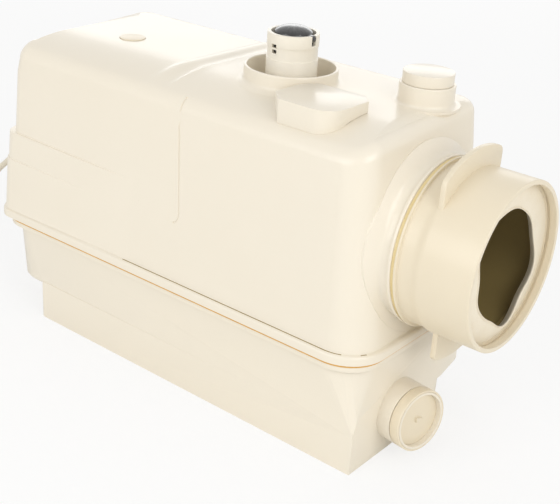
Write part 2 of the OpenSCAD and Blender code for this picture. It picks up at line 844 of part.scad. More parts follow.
module at_stub() {
    translate([skirt_x1, stub_y, stub_z]) rotate([0, 90 - stub_tilt, -stub_turn]) children();
}
function in_sump(p) = p[0] > skirt_x0 + post_r && p[1] < skirt_y1 - post_r;
module tank() {
    color(ivory) difference() {
        union() {
            difference() {
                union() {
                    translate([0, 0, rim_top - rim_t]) rounded(-half_len + rim_in, half_len - rim_in,
                        -half_dep + rim_in, half_dep - rim_in, lip_r - rim_in, rim_t);
                    tier(0, skirt_h);
                    rounded(skirt_x0, skirt_x1, skirt_y0, skirt_y1, skirt_r, skirt_h + edge_r);
                    translate([skirt_x1 - skirt_r * 2, skirt_y0, 0])
                        cube([skirt_r * 2, skirt_r * 2, skirt_h + edge_r]);
                    at_stub() translate([0, 0, -stub_r / 2]) cylinder(h = stub_r / 2 + stub_len
                        - ring_len - stub_groove, r = stub_r);
                    at_stub() cylinder(h = stub_len, r = stub_r - stub_wall / 2);
                }
                tier(tank_wall, skirt_h + floor_t);
                translate([0, 0, rim_top - rim_t - over]) rim_hole(rim_t + over * 2);
                translate([0, 0, floor_t]) rounded(skirt_x0 + tank_wall, skirt_x1 - tank_wall,
                    skirt_y0 + tank_wall, skirt_y1 - tank_wall, skirt_r - tank_wall, skirt_h + edge_r * 2);
            }
            for (p = post_xy) translate([p[0], p[1], in_sump(p) ? floor_t / 2 : skirt_h + floor_t / 2])
                cylinder(h = deck_z - (in_sump(p) ? floor_t / 2 : skirt_h + floor_t / 2), r = post_r);
            for (x = ear_x) {
                translate([x, ear_y, 0]) cylinder(h = ear_t, r = ear_r);
                translate([x - ear_r, skirt_y1 - over, 0]) cube([ear_r * 2, ear_y - skirt_y1 + over, ear_t]);
            }
        }
        at_stub() translate([0, 0, -stub_r]) cylinder(h = stub_r + stub_len + over, r = stub_r - stub_wall);
        for (x = ear_x) translate([x, ear_y, -over]) cylinder(h = ear_t + over * 2, r = ear_hole_r);
        for (p = post_xy) translate([p[0], p[1], deck_z - screw_grip]) cylinder(h = screw_grip + over, r = screw_r);
        for (y = screw_y) translate([screw_x, y, rim_top - rim_t - over])
            cylinder(h = rim_t + over * 2, r = screw_r + fit_gap);
    }
}
module stub_ring() {
    color(ivory_dark) at_stub()
        ringed(stub_r - stub_wall / 2, stub_r, stub_len - ring_len, stub_len);
}
module stub_plug() {
    color(ivory_dark) at_stub() translate([0, 0, stub_len - stub_plug_in - stub_plug_t]) {
        cylinder(h = stub_plug_t, r = stub_r - stub_wall - run_gap);
        ringed(stub_r - stub_wall - over, stub_r - stub_wall - run_gap, -stub_plug_skirt, over / 2);
        translate([0, 0, stub_plug_t - over / 2]) linear_extrude(stub_rib + over / 2)
            polygon([[-stub_rib, -stub_rib], [stub_rib, -stub_rib], [0, stub_rib * 2]]);
    }
}

module pump_deck() {
    color(grey) difference() {
        translate([0, 0, deck_z]) rounded(deck_x0, deck_x1, -deck_y, deck_y, deck_r, deck_t);
        at_pump() translate([0, 0, deck_z - over]) cylinder(h = deck_t + over * 2, r = bearing_r + over);
        at_pump() motor_screw_at() translate([0, 0, deck_z - over])
            cylinder(h = deck_t + over * 2, r = thin_screw_r);
        translate([bell_x, bell_y, deck_z - over]) cylinder(h = deck_t + over * 2, r = plunger_r);
        for (p = post_xy) translate([p[0], p[1], deck_z - over])
            cylinder(h = deck_t + over * 2, r = screw_r + fit_gap);
    }
}
module motor_screw_at() {
    for (i = [0:motor_screw_count - 1]) rotate(45 + 360 * i / motor_screw_count)
        translate([motor_screw_r, 0, 0]) children();
}
module deck_screws() {
    color(steel) for (p = post_xy) screw(p[0], p[1], deck_top, screw_r, screw_head_r, deck_t + screw_grip);
}
module motor_screws() {
    color(steel) at_pump() motor_screw_at()
        screw(0, 0, deck_top + flange_t, thin_screw_r, thin_head_r, flange_t * 2 + deck_t);
}
module motor_housing() {
    color(steel) at_pump() difference() {
        union() {
            ringed(motor_r - can_wall, motor_r, deck_top, motor_top);
            ringed(bearing_r + over, motor_flange_r, deck_top, deck_top + flange_t);
        }
        motor_screw_at() translate([0, 0, deck_top - over])
            cylinder(h = flange_t + over * 2, r = thin_screw_r);
    }
}
module motor_cap() {
    color(grey) at_pump() {
        ringed(bearing_r, motor_r, motor_top, motor_top + cap_t);
        ringed(bearing_r, bearing_r + can_wall, motor_top - bearing_t / 2, motor_top + cap_t / 2);
        ringed(shaft_r + over / 2, motor_r - can_wall, upper_z + bearing_t, motor_top + cap_t);
    }
}
module motor_stator() {
    color(copper) at_pump() {
        ringed(rotor_r + air_gap, motor_r - can_wall, stator_z, stator_z + stator_len);
        for (z = [stator_z - coil_head, stator_z + stator_len - over / 2])
            ringed(rotor_r + over, motor_r - can_wall - over * 2, z, z + coil_head + over / 2);
    }
}
module upper_bearing() {
    color(steel) at_pump() ringed(shaft_r + run_gap, bearing_r, upper_z, upper_z + bearing_t);
}
module lower_bearing() {
    color(steel) at_pump() ringed(shaft_r + run_gap, bearing_r, lower_z, lower_z + bearing_t);
}
module seal_housing() {
    color(grey) at_pump() difference() {
        union() {
            ringed(shaft_r + over / 2, bracket_r, pump_top, deck_z);
            ringed(bracket_r - over, bracket_flange_r, deck_z - flange_t, deck_z);
        }
        translate([0, 0, lower_z]) cylinder(h = deck_z - lower_z + over, r = bearing_r);
        translate([0, 0, seal_z]) cylinder(h = lower_z - seal_z + over, r = seal_r);
        motor_screw_at() translate([0, 0, deck_z - flange_t - over])
            cylinder(h = flange_t + over * 2, r = thin_screw_r);
    }
}
module shaft_seal() {
    color(rubber_black) at_pump() ringed(shaft_r + run_gap, seal_r, seal_z, seal_z + seal_len);
}
module pump_volute() {
    color(grey) difference() {
        union() {
            at_pump() translate([0, 0, pump_low]) cylinder(h = pump_top - pump_low, r = volute_r);
            translate([pump_x, nozzle_y, nozzle_z]) rotate([0, 90, 0])
                cylinder(h = nozzle_x - pump_x, r = nozzle_r);
        }
        at_pump() translate([0, 0, pump_low + volute_wall])
            cylinder(h = pump_top - pump_low, r = volute_r - volute_wall);
        at_pump() translate([0, 0, pump_low - over]) cylinder(h = volute_wall + over * 2, r = pump_eye_r);
        translate([pump_x, nozzle_y, nozzle_z]) rotate([0, 90, 0])
            cylinder(h = nozzle_x - pump_x + over, r = nozzle_r - volute_wall);
    }
}
module cutter_ring() {
    color(steel) at_pump() difference() {
        ringed(cutter_ring_in, cutter_ring_r, pump_low - cutter_t, pump_low);
        for (i = [0:7]) rotate(45 * i) translate([cutter_ring_in - over, -cutter_gap / 2, pump_low - cutter_t - over])
            cube([cutter_gap + over, cutter_gap, cutter_t + over / 2]);
    }
}
module motor_shaft() {
    color(steel) at_pump() {
        translate([0, 0, shaft_low]) cylinder(h = pump_top - shaft_low + over, r = tail_r);
        translate([0, 0, pump_top + over]) cylinder(h = shaft_top - pump_top - over, r = shaft_r);
        translate([0, 0, stator_z - over]) cylinder(h = stator_len + over * 2, r = core_shaft_r);
    }
}
module rotor_core() {
    color(steel) at_pump() ringed(core_shaft_r, rotor_r, stator_z, stator_z + stator_len);
}
module impeller() {
    color(grey) at_pump() translate([0, 0, impeller_z]) {
        ringed(tail_r, hub_r, 0, impeller_t);
        ringed(tail_r, impeller_d / 2, impeller_t - blade_t, impeller_t);
        for (i = [0:blade_count - 1]) rotate(360 * i / blade_count)
            translate([tail_r + over, -blade_t / 2, 0])
                cube([impeller_d / 2 - tail_r - over - blade_t / 4, blade_t, impeller_t]);
    }
}
module cutter() {
    color(steel) at_pump() translate([0, 0, pump_low - cutter_t]) {
        ringed(tail_r, hub_r - over, 0, cutter_t);
        for (i = [0:3]) rotate(90 * i) translate([tail_r + over / 2, -blade_t, 0])
            cube([cutter_r - tail_r - over, blade_t * 2, cutter_t]);
    }
}

function bezier(a, b, c, d, t) = a * pow(1 - t, 3) + b * 3 * pow(1 - t, 2) * t + c * 3 * (1 - t) * t * t
    + d * pow(t, 3);
hose_points = concat([hose_start], [for (i = [0:hose_steps]) bezier(hose_from,
    hose_from + [hose_reach, 0, 0], hose_to - [0, 0, hose_reach], hose_to, i / hose_steps)], [hose_end]);
module hose(p, r0, r1, n) {
    m = len(p);
    k1 = m * n;
    outer = [for (i = [0:m - 1]) each tube_ring(p[i], tangent(p, i), frame_at(p, i), r1, n)];
    inner = [for (i = [0:m - 1]) each tube_ring(p[i], tangent(p, i), frame_at(p, i), r0, n)];
    polyhedron(points = concat(outer, inner), faces = concat(
        [for (k = [0:m - 2], i = [0:n - 1]) [k * n + i, (k + 1) * n + i, (k + 1) * n + (i + 1) % n]],
        [for (k = [0:m - 2], i = [0:n - 1]) [k * n + i, (k + 1) * n + (i + 1) % n, k * n + (i + 1) % n]],
        [for (k = [0:m - 2], i = [0:n - 1])
            [k1 + k * n + i, k1 + (k + 1) * n + (i + 1) % n, k1 + (k + 1) * n + i]],
        [for (k = [0:m - 2], i = [0:n - 1])
            [k1 + k * n + i, k1 + k * n + (i + 1) % n, k1 + (k + 1) * n + (i + 1) % n]],
        [for (i = [0:n - 1]) [i, (i + 1) % n, k1 + (i + 1) % n]],
        [for (i = [0:n - 1]) [i, k1 + (i + 1) % n, k1 + i]],
        [for (i = [0:n - 1]) [k1 - n + (i + 1) % n, k1 - n + i, k1 * 2 - n + i]],
        [for (i = [0:n - 1]) [k1 - n + (i + 1) % n, k1 * 2 - n + i, k1 * 2 - n + (i + 1) % n]]));
}
module discharge_hose() { color(rubber_black) hose(hose_points, hose_r, hose_r + hose_wall, hose_sides); }
module hose_clamps() {
    color(steel) {
        translate(hose_start + [over, 0, 0]) rotate([0, 90, 0])
            ringed(hose_r + hose_wall, hose_r + hose_wall + clamp_t, 0, clamp_w);
        translate(hose_end - [0, 0, clamp_w + over])
            ringed(hose_r + hose_wall, hose_r + hose_wall + clamp_t, 0, clamp_w);
    }
}

module pressure_tube() {
    color(grey) translate([bell_x, bell_y, 0]) {
        ringed(bell_r - bell_wall, bell_r, bell_low, deck_z);
        ringed(plunger_r, bell_r, deck_z - bell_wall, deck_z);
    }
}
module level_switch() {
    color(rubber_black) translate([bell_x, bell_y, deck_top]) difference() {
        cylinder(h = switch_h, r = switch_r);
        translate([0, 0, bell_wall]) cylinder(h = switch_h - bell_wall * 2, r = diaphragm_r + bell_wall);
        translate([0, 0, -over]) cylinder(h = bell_wall + over * 2, r = plunger_r);
        translate([0, 0, switch_h - bell_wall - over])
            cylinder(h = bell_wall + over * 2, r = plunger_r + run_gap);
    }
}
module switch_plunger() {
    color(seal_brown) translate([bell_x, bell_y, deck_top + bell_wall + plunger_gap]) {
        cylinder(h = diaphragm_t, r = diaphragm_r);
        cylinder(h = switch_h - bell_wall - plunger_gap + plunger_h, r = plunger_r);
    }
}
module control_box() {
    color(grey) translate([box_x0, box_y0, deck_top]) difference() {
        cube([box_x1 - box_x0, box_y1 - box_y0, box_h]);
        translate([box_wall, box_wall, box_wall])
            cube([box_x1 - box_x0 - box_wall * 2, box_y1 - box_y0 - box_wall * 2, box_h]);
    }
}
module control_lid() {
    color(grey) translate([box_x0, box_y0, deck_top + box_h]) {
        cube([box_x1 - box_x0, box_y1 - box_y0, box_lid_t]);
        translate([box_wall + fit_gap, box_wall + fit_gap, -box_lid_t]) difference() {
            cube([box_x1 - box_x0 - (box_wall + fit_gap) * 2, box_y1 - box_y0 - (box_wall + fit_gap) * 2,
                box_lid_t + box_lid_t / 2]);
            translate([box_wall, box_wall, -over]) cube([box_x1 - box_x0 - box_wall * 4 - fit_gap * 2,
                box_y1 - box_y0 - box_wall * 4 - fit_gap * 2, box_lid_t + over]);
        }
    }
}
module control_board() {
    color([0.10, 0.35, 0.18]) translate([box_x0 + box_wall + board_gap, box_y0 + box_wall + board_gap,
            deck_top + box_wall]) {
        cube([board_t, box_y1 - box_y0 - (box_wall + board_gap) * 2, box_h - box_wall - box_lid_t - board_gap]);
        for (k = [0:1]) translate([0, board_gap + k * (relay_w + board_gap), board_gap * 2])
            cube([relay_t + board_t, relay_w, relay_w]);
    }
}
module capacitor() {
    color(steel) translate([box_x1 - box_wall - cap_body_r - fit_gap, (box_y0 + box_y1) / 2,
            deck_top + box_wall]) {
        cylinder(h = cap_body_h, r = cap_body_r);
        for (s = [-1, 1]) translate([0, s * cap_body_r / 2, cap_body_h - over])
            cylinder(h = over * 3, r = over / 2);
    }
}

module cable_gland() {
    color(grey) translate([gland_x, gland_y, gland_z]) rotate([0, -90, 0]) difference() {
        union() {
            cylinder(h = gland_out, r = gland_hex_r, $fn = 6);
            translate([0, 0, -gland_pad_t - gland_in]) cylinder(h = gland_pad_t + gland_in + over, r = gland_thread_r);
            translate([0, 0, -gland_pad_t - nut_t]) cylinder(h = nut_t, r = gland_hex_r, $fn = 6);
            translate([0, 0, gland_out]) cylinder(h = boot_len, r1 = boot_r, r2 = cord_r + boot_tip);
        }
        translate([0, 0, -gland_pad_t - gland_in - over])
            cylinder(h = gland_pad_t + gland_in + gland_out + over * 2, r = cord_r);
    }
}
module mains_cord() { color(ivory) sweep(cord_points, cord_r, cord_sides); }

// Height, radius and place of the coil's centre line at an angle along it
function coil_z(a) = coil_low + coil_pitch * min(1, max(0, (a - coil_turn) / coil_climb));
function coil_radius(a) = a < coil_turn ? coil_r - coil_pitch * a / 360
    : a < coil_turn + coil_climb ? coil_inner - coil_dip * sin(180 * (a - coil_turn) / coil_climb)
    : coil_inner + coil_pitch * (a - coil_turn - coil_climb) / 360
        + coil_out * pow(max(0, (a - coil_end + coil_out_turn) / coil_out_turn), 2);
function coil_point(a) = [coil_at[0] + coil_radius(a) * cos(a + 90),
    coil_at[1] + coil_radius(a) * sin(a + 90), coil_z(a)];
coil_steps = round(coil_end * loop_steps / 360);
coil_loops = [for (i = [0:coil_steps]) coil_point(360 * i / loop_steps)];
coil_exit = unit(coil_loops[coil_steps] - coil_loops[coil_steps - 1]);
coil_points = concat([cord_points[len(cord_points) - 1]], coil_loops,
    [coil_loops[coil_steps] + coil_exit * cord_d]);
coil_stop = coil_points[len(coil_points) - 1];
coil_least = min([for (i = [0:coil_steps - 12], j = [i + 12:coil_steps])
    norm(coil_loops[i] - coil_loops[j])]) - cord_d;
echo(least_gap_in_coil = coil_least);
module cord_coil() { color(ivory) sweep(coil_points, cord_r, coil_sides); }
module coil_tie() {
    w = coil_r - coil_inner + cord_d + fit_gap * 4 + coil_dip;
    h = coil_pitch + cord_d + fit_gap * 2;
    color(rubber_black) translate([coil_at[0] - coil_r - cord_r - fit_gap * 2, coil_at[1] - tie_w / 2,
            coil_low - cord_r - fit_gap]) difference() {
        translate([-tie_t, 0, -tie_t]) cube([w + tie_t * 2, tie_w, h + tie_t * 2]);
        translate([0, -over, 0]) cube([w, tie_w + over * 2, h]);
    }
}
module at_plug() {
    translate([coil_stop[0], coil_stop[1], coil_low + coil_pitch])
        rotate([0, 90, atan2(coil_exit[1], coil_exit[0])]) children();
}
module mains_plug() {
    color(rubber_black) at_plug() {
        cylinder(h = plug_boot + over, r1 = cord_r + boot_tip, r2 = plug_boot_r);
        translate([0, 0, plug_boot]) linear_extrude(plug_len) {
            square([plug_r * 2, plug_w - plug_r * 2], center = true);
            for (s = [-1, 1]) translate([0, s * (plug_w / 2 - plug_r)]) circle(plug_r);
        }
    }
}
module plug_pins() {
    color(steel) at_plug() for (s = [-1, 1])
        translate([0, s * plug_pin_gap, plug_boot + plug_len]) cylinder(h = plug_pin_len, r = plug_pin_r, $fn = 24);
}

tank();
cover();
cover_gasket();
cover_screws();
collar_seal();
stub_ring();
discharge_tube();
tube_seal();
valve_body();
flap_pin();
carbon_filter();
pump_deck();
deck_screws();
motor_screws();
motor_housing();
motor_cap();
motor_stator();
upper_bearing();
lower_bearing();
seal_housing();
shaft_seal();
pump_volute();
cutter_ring();
discharge_hose();
hose_clamps();
pressure_tube();
level_switch();
control_box();
control_lid();
control_board();
capacitor();
cable_gland();
mains_cord();
cord_coil();
coil_tie();
mains_plug();
plug_pins();
motor_shaft();
rotor_core();
impeller();
cutter();
valve_flap();
inlet_collar();
lip_seal();
top_cap();
stub_plug();
filter_lid();
service_plug();
switch_plunger();
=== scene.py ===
"""Looks of a sewage lifting unit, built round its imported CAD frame. Lengths in the tables are in millimetres."""
import math
import json

import bpy
from mathutils import Matrix, Vector


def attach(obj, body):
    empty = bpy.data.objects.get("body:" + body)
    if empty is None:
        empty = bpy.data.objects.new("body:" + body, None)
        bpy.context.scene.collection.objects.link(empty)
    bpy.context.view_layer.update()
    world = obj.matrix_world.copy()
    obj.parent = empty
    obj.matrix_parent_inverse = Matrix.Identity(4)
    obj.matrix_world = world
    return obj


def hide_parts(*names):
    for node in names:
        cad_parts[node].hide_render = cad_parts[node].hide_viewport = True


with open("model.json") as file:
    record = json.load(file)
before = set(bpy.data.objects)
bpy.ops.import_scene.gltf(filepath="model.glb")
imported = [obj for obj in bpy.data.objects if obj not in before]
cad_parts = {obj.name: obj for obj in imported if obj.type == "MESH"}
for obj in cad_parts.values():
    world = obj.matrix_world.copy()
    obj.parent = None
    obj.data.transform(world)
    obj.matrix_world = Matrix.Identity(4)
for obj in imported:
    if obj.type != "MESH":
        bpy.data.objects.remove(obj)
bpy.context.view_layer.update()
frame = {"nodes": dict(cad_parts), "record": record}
MM = 0.001


# Camera

SENSOR_WIDTH, FOCAL_PIXELS, FRAME_PIXELS = 36, 1088.6, 560
CAMERA_AT = (510.5, -597.7, 449.4)
CAMERA_YAW, CAMERA_PITCH, CAMERA_ROLL = 37.42, 24.96, 3.94


def photo_camera():
    """A camera at the photograph's place, from the fit to the toilet collar and the cover's corners."""
    data = bpy.data.cameras.new("photo_camera")
    data.sensor_width = SENSOR_WIDTH
    data.lens = SENSOR_WIDTH * FOCAL_PIXELS / FRAME_PIXELS
    data.clip_start = 0.01
    camera = bpy.data.objects.new("photo_camera", data)
    bpy.context.scene.collection.objects.link(camera)
    yaw, pitch, roll = (math.radians(a) for a in (CAMERA_YAW, CAMERA_PITCH, CAMERA_ROLL))
    back = Vector((math.sin(yaw) * math.cos(pitch), -math.cos(yaw) * math.cos(pitch), math.sin(pitch)))
    right = (-back).cross(Vector((0, 0, 1))).normalized()
    up = right.cross(-back)
    turned_right = math.cos(roll) * right + math.sin(roll) * up
    turned_up = math.cos(roll) * up - math.sin(roll) * right
    axes = Matrix((turned_right, turned_up, back)).transposed().to_4x4()
    camera.matrix_world = Matrix.Translation(Vector(CAMERA_AT) * MM) @ axes
    bpy.context.scene.camera = camera


photo_camera()
scene = bpy.context.scene
scene.view_settings.view_transform = "Standard"


# Shader maths as Python expressions

class Field:
    """A shader socket; an operator on it adds a Math node."""

    def __init__(self, finish, socket):
        self.finish = finish
        self.socket = socket

    def math(self, operation, *others):
        return self.finish.node("ShaderNodeMath", {"operation": operation}, [self, *others])

    def __add__(self, other):
        return self.math("ADD", other)

    def __mul__(self, other):
        return self.math("MULTIPLY", other)

    def __sub__(self, other):
        return self.math("SUBTRACT", other)

    def clamp(self, low, high):
        return self.math("MAXIMUM", low).math("MINIMUM", high)


class Finish:
    """A material in the making: node() adds any node and returns its first output as a Field."""

    def __init__(self, name):
        self.material = bpy.data.materials.new(name)
        self.material.use_nodes = True
        self.tree = self.material.node_tree
        self.shader = self.tree.nodes["Principled BSDF"]

    def node(self, kind, settings=None, values=None, output=0):
        made = self.tree.nodes.new(kind)
        for key, value in (settings or {}).items():
            setattr(made, key, value)
        pairs = values.items() if isinstance(values, dict) else enumerate(values or [])
        for key, value in pairs:
            self.feed(made.inputs[key], value)
        return Field(self, made.outputs[output])

    def feed(self, socket, value):
        if isinstance(value, Field):
            self.tree.links.new(value.socket, socket)
        else:
            socket.default_value = value

    def place(self):
        return self.node("ShaderNodeTexCoord", output="Object")

    def noise(self, scale, detail=2.0, where=None):
        return self.node("ShaderNodeTexNoise", None, {"Vector": where or self.place(), "Scale": scale,
            "Detail": detail})

    def mix(self, share, first, second):
        made = self.tree.nodes.new("ShaderNodeMix")
        made.data_type = "RGBA"
        self.feed(made.inputs["Factor"], share)
        self.feed(made.inputs[6], first)
        self.feed(made.inputs[7], second)
        return Field(self, made.outputs[2])

    def bump(self, height, strength, distance):
        normal = self.node("ShaderNodeBump", None, {"Strength": strength, "Distance": distance,
            "Height": height})
        self.feed(self.shader.inputs["Normal"], normal)

    def set(self, **values):
        for key, value in values.items():
            self.feed(self.shader.inputs[key.replace("_", " ")], value)


DRIFT_SCALE, WAVE_SCALE, SPECK_SCALE, GRAIN_SCALE = 9.0, 60.0, 420.0, 1400.0


def moulded(name, colour, warm, roughness, coat=0.0, grain=0.00002):
    """Moulded plastic: a faint drift of colour, a fine mould texture and slow waves in the gloss."""
    made = Finish(name)
    drift = made.noise(DRIFT_SCALE, 3.0)
    speck = made.noise(SPECK_SCALE)
    fine = made.noise(GRAIN_SCALE)
    tone = made.mix((drift * 0.9 + speck * 0.25).clamp(0.0, 1.0), (*colour, 1), (*warm, 1))
    made.set(Base_Color=tone, Roughness=(drift - 0.5) * 0.08 + (speck - 0.5) * 0.05 + roughness)
    made.set(Coat_Weight=coat, Coat_Roughness=0.08, IOR=1.49)
    made.bump(made.noise(WAVE_SCALE) * 3.0 + fine, 0.35, grain)
    return made.material


def rubbery(name, colour, warm, roughness):
    """Soft rubber or cable sheath: dusty patches over a fine matt skin."""
    made = Finish(name)
    dust = made.noise(80.0, 4.0)
    fine = made.noise(900.0, 3.0)
    made.set(Base_Color=made.mix((dust * fine * 2.0).clamp(0.0, 1.0), (*colour, 1), (*warm, 1)),
        Roughness=(dust - 0.5) * 0.2 + roughness)
    made.bump(fine, 0.5, 0.00006)
    return made.material


def metal(name, colour, roughness, stretch=(6.0, 6.0, 900.0)):
    """Turned or drawn metal: fine lines along one direction."""
    made = Finish(name)
    lines = made.node("ShaderNodeMapping", None, {"Vector": made.place(), "Scale": stretch})
    brushed = made.noise(1.0, 3.0, lines)
    stain = made.noise(30.0, 3.0)
    dark = tuple(c * 0.78 for c in colour)
    made.set(Base_Color=made.mix((brushed * 0.6 + stain * 0.4).clamp(0.0, 1.0), (*colour, 1), (*dark, 1)),
        Metallic=1.0, Roughness=(brushed - 0.5) * 0.2 + (stain - 0.5) * 0.1 + roughness)
    made.bump(brushed, 0.3, 0.00003)
    return made.material


def foam(name):
    """Open black foam with small cells."""
    made = Finish(name)
    cells = made.node("ShaderNodeTexVoronoi", None, {"Vector": made.place(), "Scale": 700.0})
    tone = made.mix(cells.clamp(0.0, 1.0), (0.004, 0.004, 0.004, 1), (0.05, 0.05, 0.05, 1))
    made.set(Base_Color=tone, Roughness=0.95)
    made.bump(cells, 0.9, 0.0004)
    return made.material


def board_green(name):
    """Green lacquer over a grid of tracks."""
    made = Finish(name)
    tracks = made.node("ShaderNodeTexBrick", None, {"Vector": made.place(), "Scale": 240.0,
        "Color1": (0.01, 0.09, 0.03, 1), "Color2": (0.015, 0.12, 0.04, 1), "Mortar": (0.05, 0.16, 0.06, 1)})
    made.set(Base_Color=tracks, Roughness=made.noise(300.0) * 0.2 + 0.3)
    return made.material


IVORY = (0.840, 0.775, 0.655)
IVORY_WARM = (0.815, 0.745, 0.615)
finishes = {
    "shell": moulded("ivory_shell", IVORY, IVORY_WARM, 0.30, 0.15),
    "tube": moulded("ivory_tube", (0.86, 0.81, 0.70), (0.84, 0.78, 0.66), 0.34, 0.1),
    "fitting": moulded("ivory_collar", (0.800, 0.715, 0.555), (0.775, 0.680, 0.510), 0.36, 0.1),
    "lip": rubbery("ivory_lip_rubber", (0.86, 0.79, 0.65), (0.80, 0.71, 0.55), 0.52),
    "seal": rubbery("golden_brown_seal", (0.74, 0.42, 0.10), (0.60, 0.32, 0.06), 0.45),
    "valve": moulded("black_valve", (0.008, 0.008, 0.009), (0.015, 0.014, 0.014), 0.22, 0.6, 0.00001),
    "steel": metal("brushed_steel", (0.62, 0.63, 0.65), 0.32),
    "casting": metal("cast_alloy", (0.50, 0.51, 0.53), 0.5, (60.0, 60.0, 60.0)),
    "winding": metal("laminated_winding", (0.55, 0.30, 0.14), 0.4, (12.0, 12.0, 1600.0)),
    "filter": foam("carbon_foam"),
    "dark_rubber": rubbery("black_rubber", (0.012, 0.012, 0.013), (0.03, 0.03, 0.03), 0.6),
    "grey_plastic": moulded("grey_moulding", (0.18, 0.19, 0.20), (0.14, 0.15, 0.16), 0.5),
    "black_plastic": moulded("black_moulding", (0.014, 0.014, 0.016), (0.02, 0.02, 0.02), 0.45),
    "board": board_green("lacquered_board"),
    "gland": moulded("cream_gland", (0.62, 0.57, 0.46), (0.58, 0.52, 0.41), 0.45),
    "cord": rubbery("cream_sheath", (0.78, 0.72, 0.60), (0.72, 0.65, 0.52), 0.42),
}
# Two finishes that no slot names: painted shade for the unit's inside, a dark brown where little light reaches, and
# the paler seal behind the collar
finishes["inside"] = moulded("painted_inside_shade", (0.34, 0.25, 0.10), (0.27, 0.20, 0.07), 0.5)
finishes["gap"] = rubbery("pale_collar_seal", (0.80, 0.66, 0.36), (0.70, 0.55, 0.26), 0.45)
slot_of = {s["node"]: s["material_slot"] for s in frame["record"]["subparts"]}

# Making and finishing of pieces

MERGE_WITHIN = 0.004


def only(piece):
    """Selects one object and makes it the active one."""
    bpy.ops.object.select_all(action="DESELECT")
    piece.select_set(True)
    bpy.context.view_layer.objects.active = piece


def dress(piece, slot, body="unit", stands_for=(), smooth=30.0):
    """Gives a finished piece its material, its body and the nodes that it stands for."""
    only(piece)
    bpy.ops.object.transform_apply(location=True, rotation=True, scale=True)
    if piece.type == "MESH" and smooth:
        bpy.ops.object.shade_smooth_by_angle(angle=math.radians(smooth))
    piece.data.materials.clear()
    piece.data.materials.append(finishes[slot])
    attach(piece, body)
    if stands_for:
        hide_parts(*stands_for)
    return piece


def modified(piece, kind, **settings):
    """Adds a modifier and applies it."""
    only(piece)
    made = piece.modifiers.new(kind.lower(), kind)
    for key, value in settings.items():
        setattr(made, key, value)
    bpy.ops.object.modifier_apply(modifier=made.name)
    return piece


def clean_edit(piece, flat=None):
    """Merges doubles, joins flat faces where asked, and turns the faces outwards."""
    only(piece)
    bpy.ops.object.mode_set(mode="EDIT")
    bpy.ops.mesh.select_all(action="SELECT")
    bpy.ops.mesh.remove_doubles(threshold=MERGE_WITHIN * MM)
    if flat:
        bpy.ops.mesh.dissolve_limited(angle_limit=math.radians(flat))
    bpy.ops.mesh.normals_make_consistent(inside=False)
    bpy.ops.object.mode_set(mode="OBJECT")
    return piece


def refined(node, edge, body="unit", corner=35.0, flat=0.6, segments=3):
    """A copy of a CAD node with its edges rounded; it stands for the node."""
    source = frame["nodes"][node]
    piece = bpy.data.objects.new(node + "_moulding", source.data.copy())
    scene.collection.objects.link(piece)
    clean_edit(piece, flat)
    modified(piece, "BEVEL", width=edge * MM, segments=segments, limit_method="ANGLE",
        angle_limit=math.radians(corner), use_clamp_overlap=True)
    return dress(piece, slot_of[node], body, [node])


def shade_inside(piece, is_inside):
    """Gives the faces that lie inside the unit the darker finish of painted shade, where little light reaches."""
    piece.data.materials.append(finishes["inside"])
    for face in piece.data.polygons:
        if is_inside(face.center / MM, face.normal):
            face.material_index = 1


def mesh_of(name, points, faces, edges=()):
    """A mesh object from points in millimetres."""
    data = bpy.data.meshes.new(name)
    data.from_pydata([Vector(p) * MM for p in points], list(edges), faces)
    piece = bpy.data.objects.new(name, data)
    scene.collection.objects.link(piece)
    return piece


def curve_of(name, places, radius, resolution):
    """A round cord through places in millimetres, as a curve object with closed ends."""
    data = bpy.data.curves.new(name, "CURVE")
    data.dimensions = "3D"
    line = data.splines.new("POLY")
    line.points.add(len(places) - 1)
    for point, place in zip(line.points, places):
        point.co = (*(Vector(place) * MM), 1)
    line.use_smooth = True
    data.bevel_depth = radius * MM
    data.bevel_resolution = resolution
    data.use_fill_caps = True
    piece = bpy.data.objects.new(name, data)
    scene.collection.objects.link(piece)
    return piece


def between(name, low, high):
    """A closed block between two outlines with the same number of points."""
    count = len(low)
    faces = [list(reversed(range(count))), list(range(count, 2 * count))]
    faces += [[i, (i + 1) % count, count + (i + 1) % count, count + i] for i in range(count)]
    return clean_edit(mesh_of(name, low + high, faces))


# The most of an edge that one corner's rounding may take
CORNER_SHARE = 0.49


def softened(corners, steps=4):
    """A profile's points with each corner rounded by its third number."""
    done = []
    count = len(corners)
    for i, corner in enumerate(corners):
        here = Vector(corner[:2])
        radius = corner[2] if len(corner) > 2 else 0
        if not radius:
            done.append(here)
            continue
        before = (Vector(corners[i - 1][:2]) - here)
        after = (Vector(corners[(i + 1) % count][:2]) - here)
        reach = min(radius, before.length * CORNER_SHARE, after.length * CORNER_SHARE)
        a = here + before.normalized() * reach
        b = here + after.normalized() * reach
        for k in range(steps + 1):
            t = k / steps
            done.append(a * (1 - t) ** 2 + here * 2 * t * (1 - t) + b * t ** 2)
    return done


def turned(name, corners, centre, axis="Z", steps=96):
    """A closed profile of (radius, height) corners spun round an axis through centre."""
    centre = Vector(centre)
    along, out = Vector((0, 0, 1)), Vector((1, 0, 0))
    if axis == "X":
        along, out = out, along
    points = [centre + out * p.x + along * p.y for p in softened(corners)]
    count = len(points)
    piece = mesh_of(name, points, [], [(i, (i + 1) % count) for i in range(count)])
    only(piece)
    bpy.ops.object.mode_set(mode="EDIT")
    bpy.ops.mesh.select_all(action="SELECT")
    bpy.ops.mesh.spin(steps=steps, angle=2 * math.pi, center=centre * MM, axis=along)
    bpy.ops.object.mode_set(mode="OBJECT")
    return clean_edit(piece)


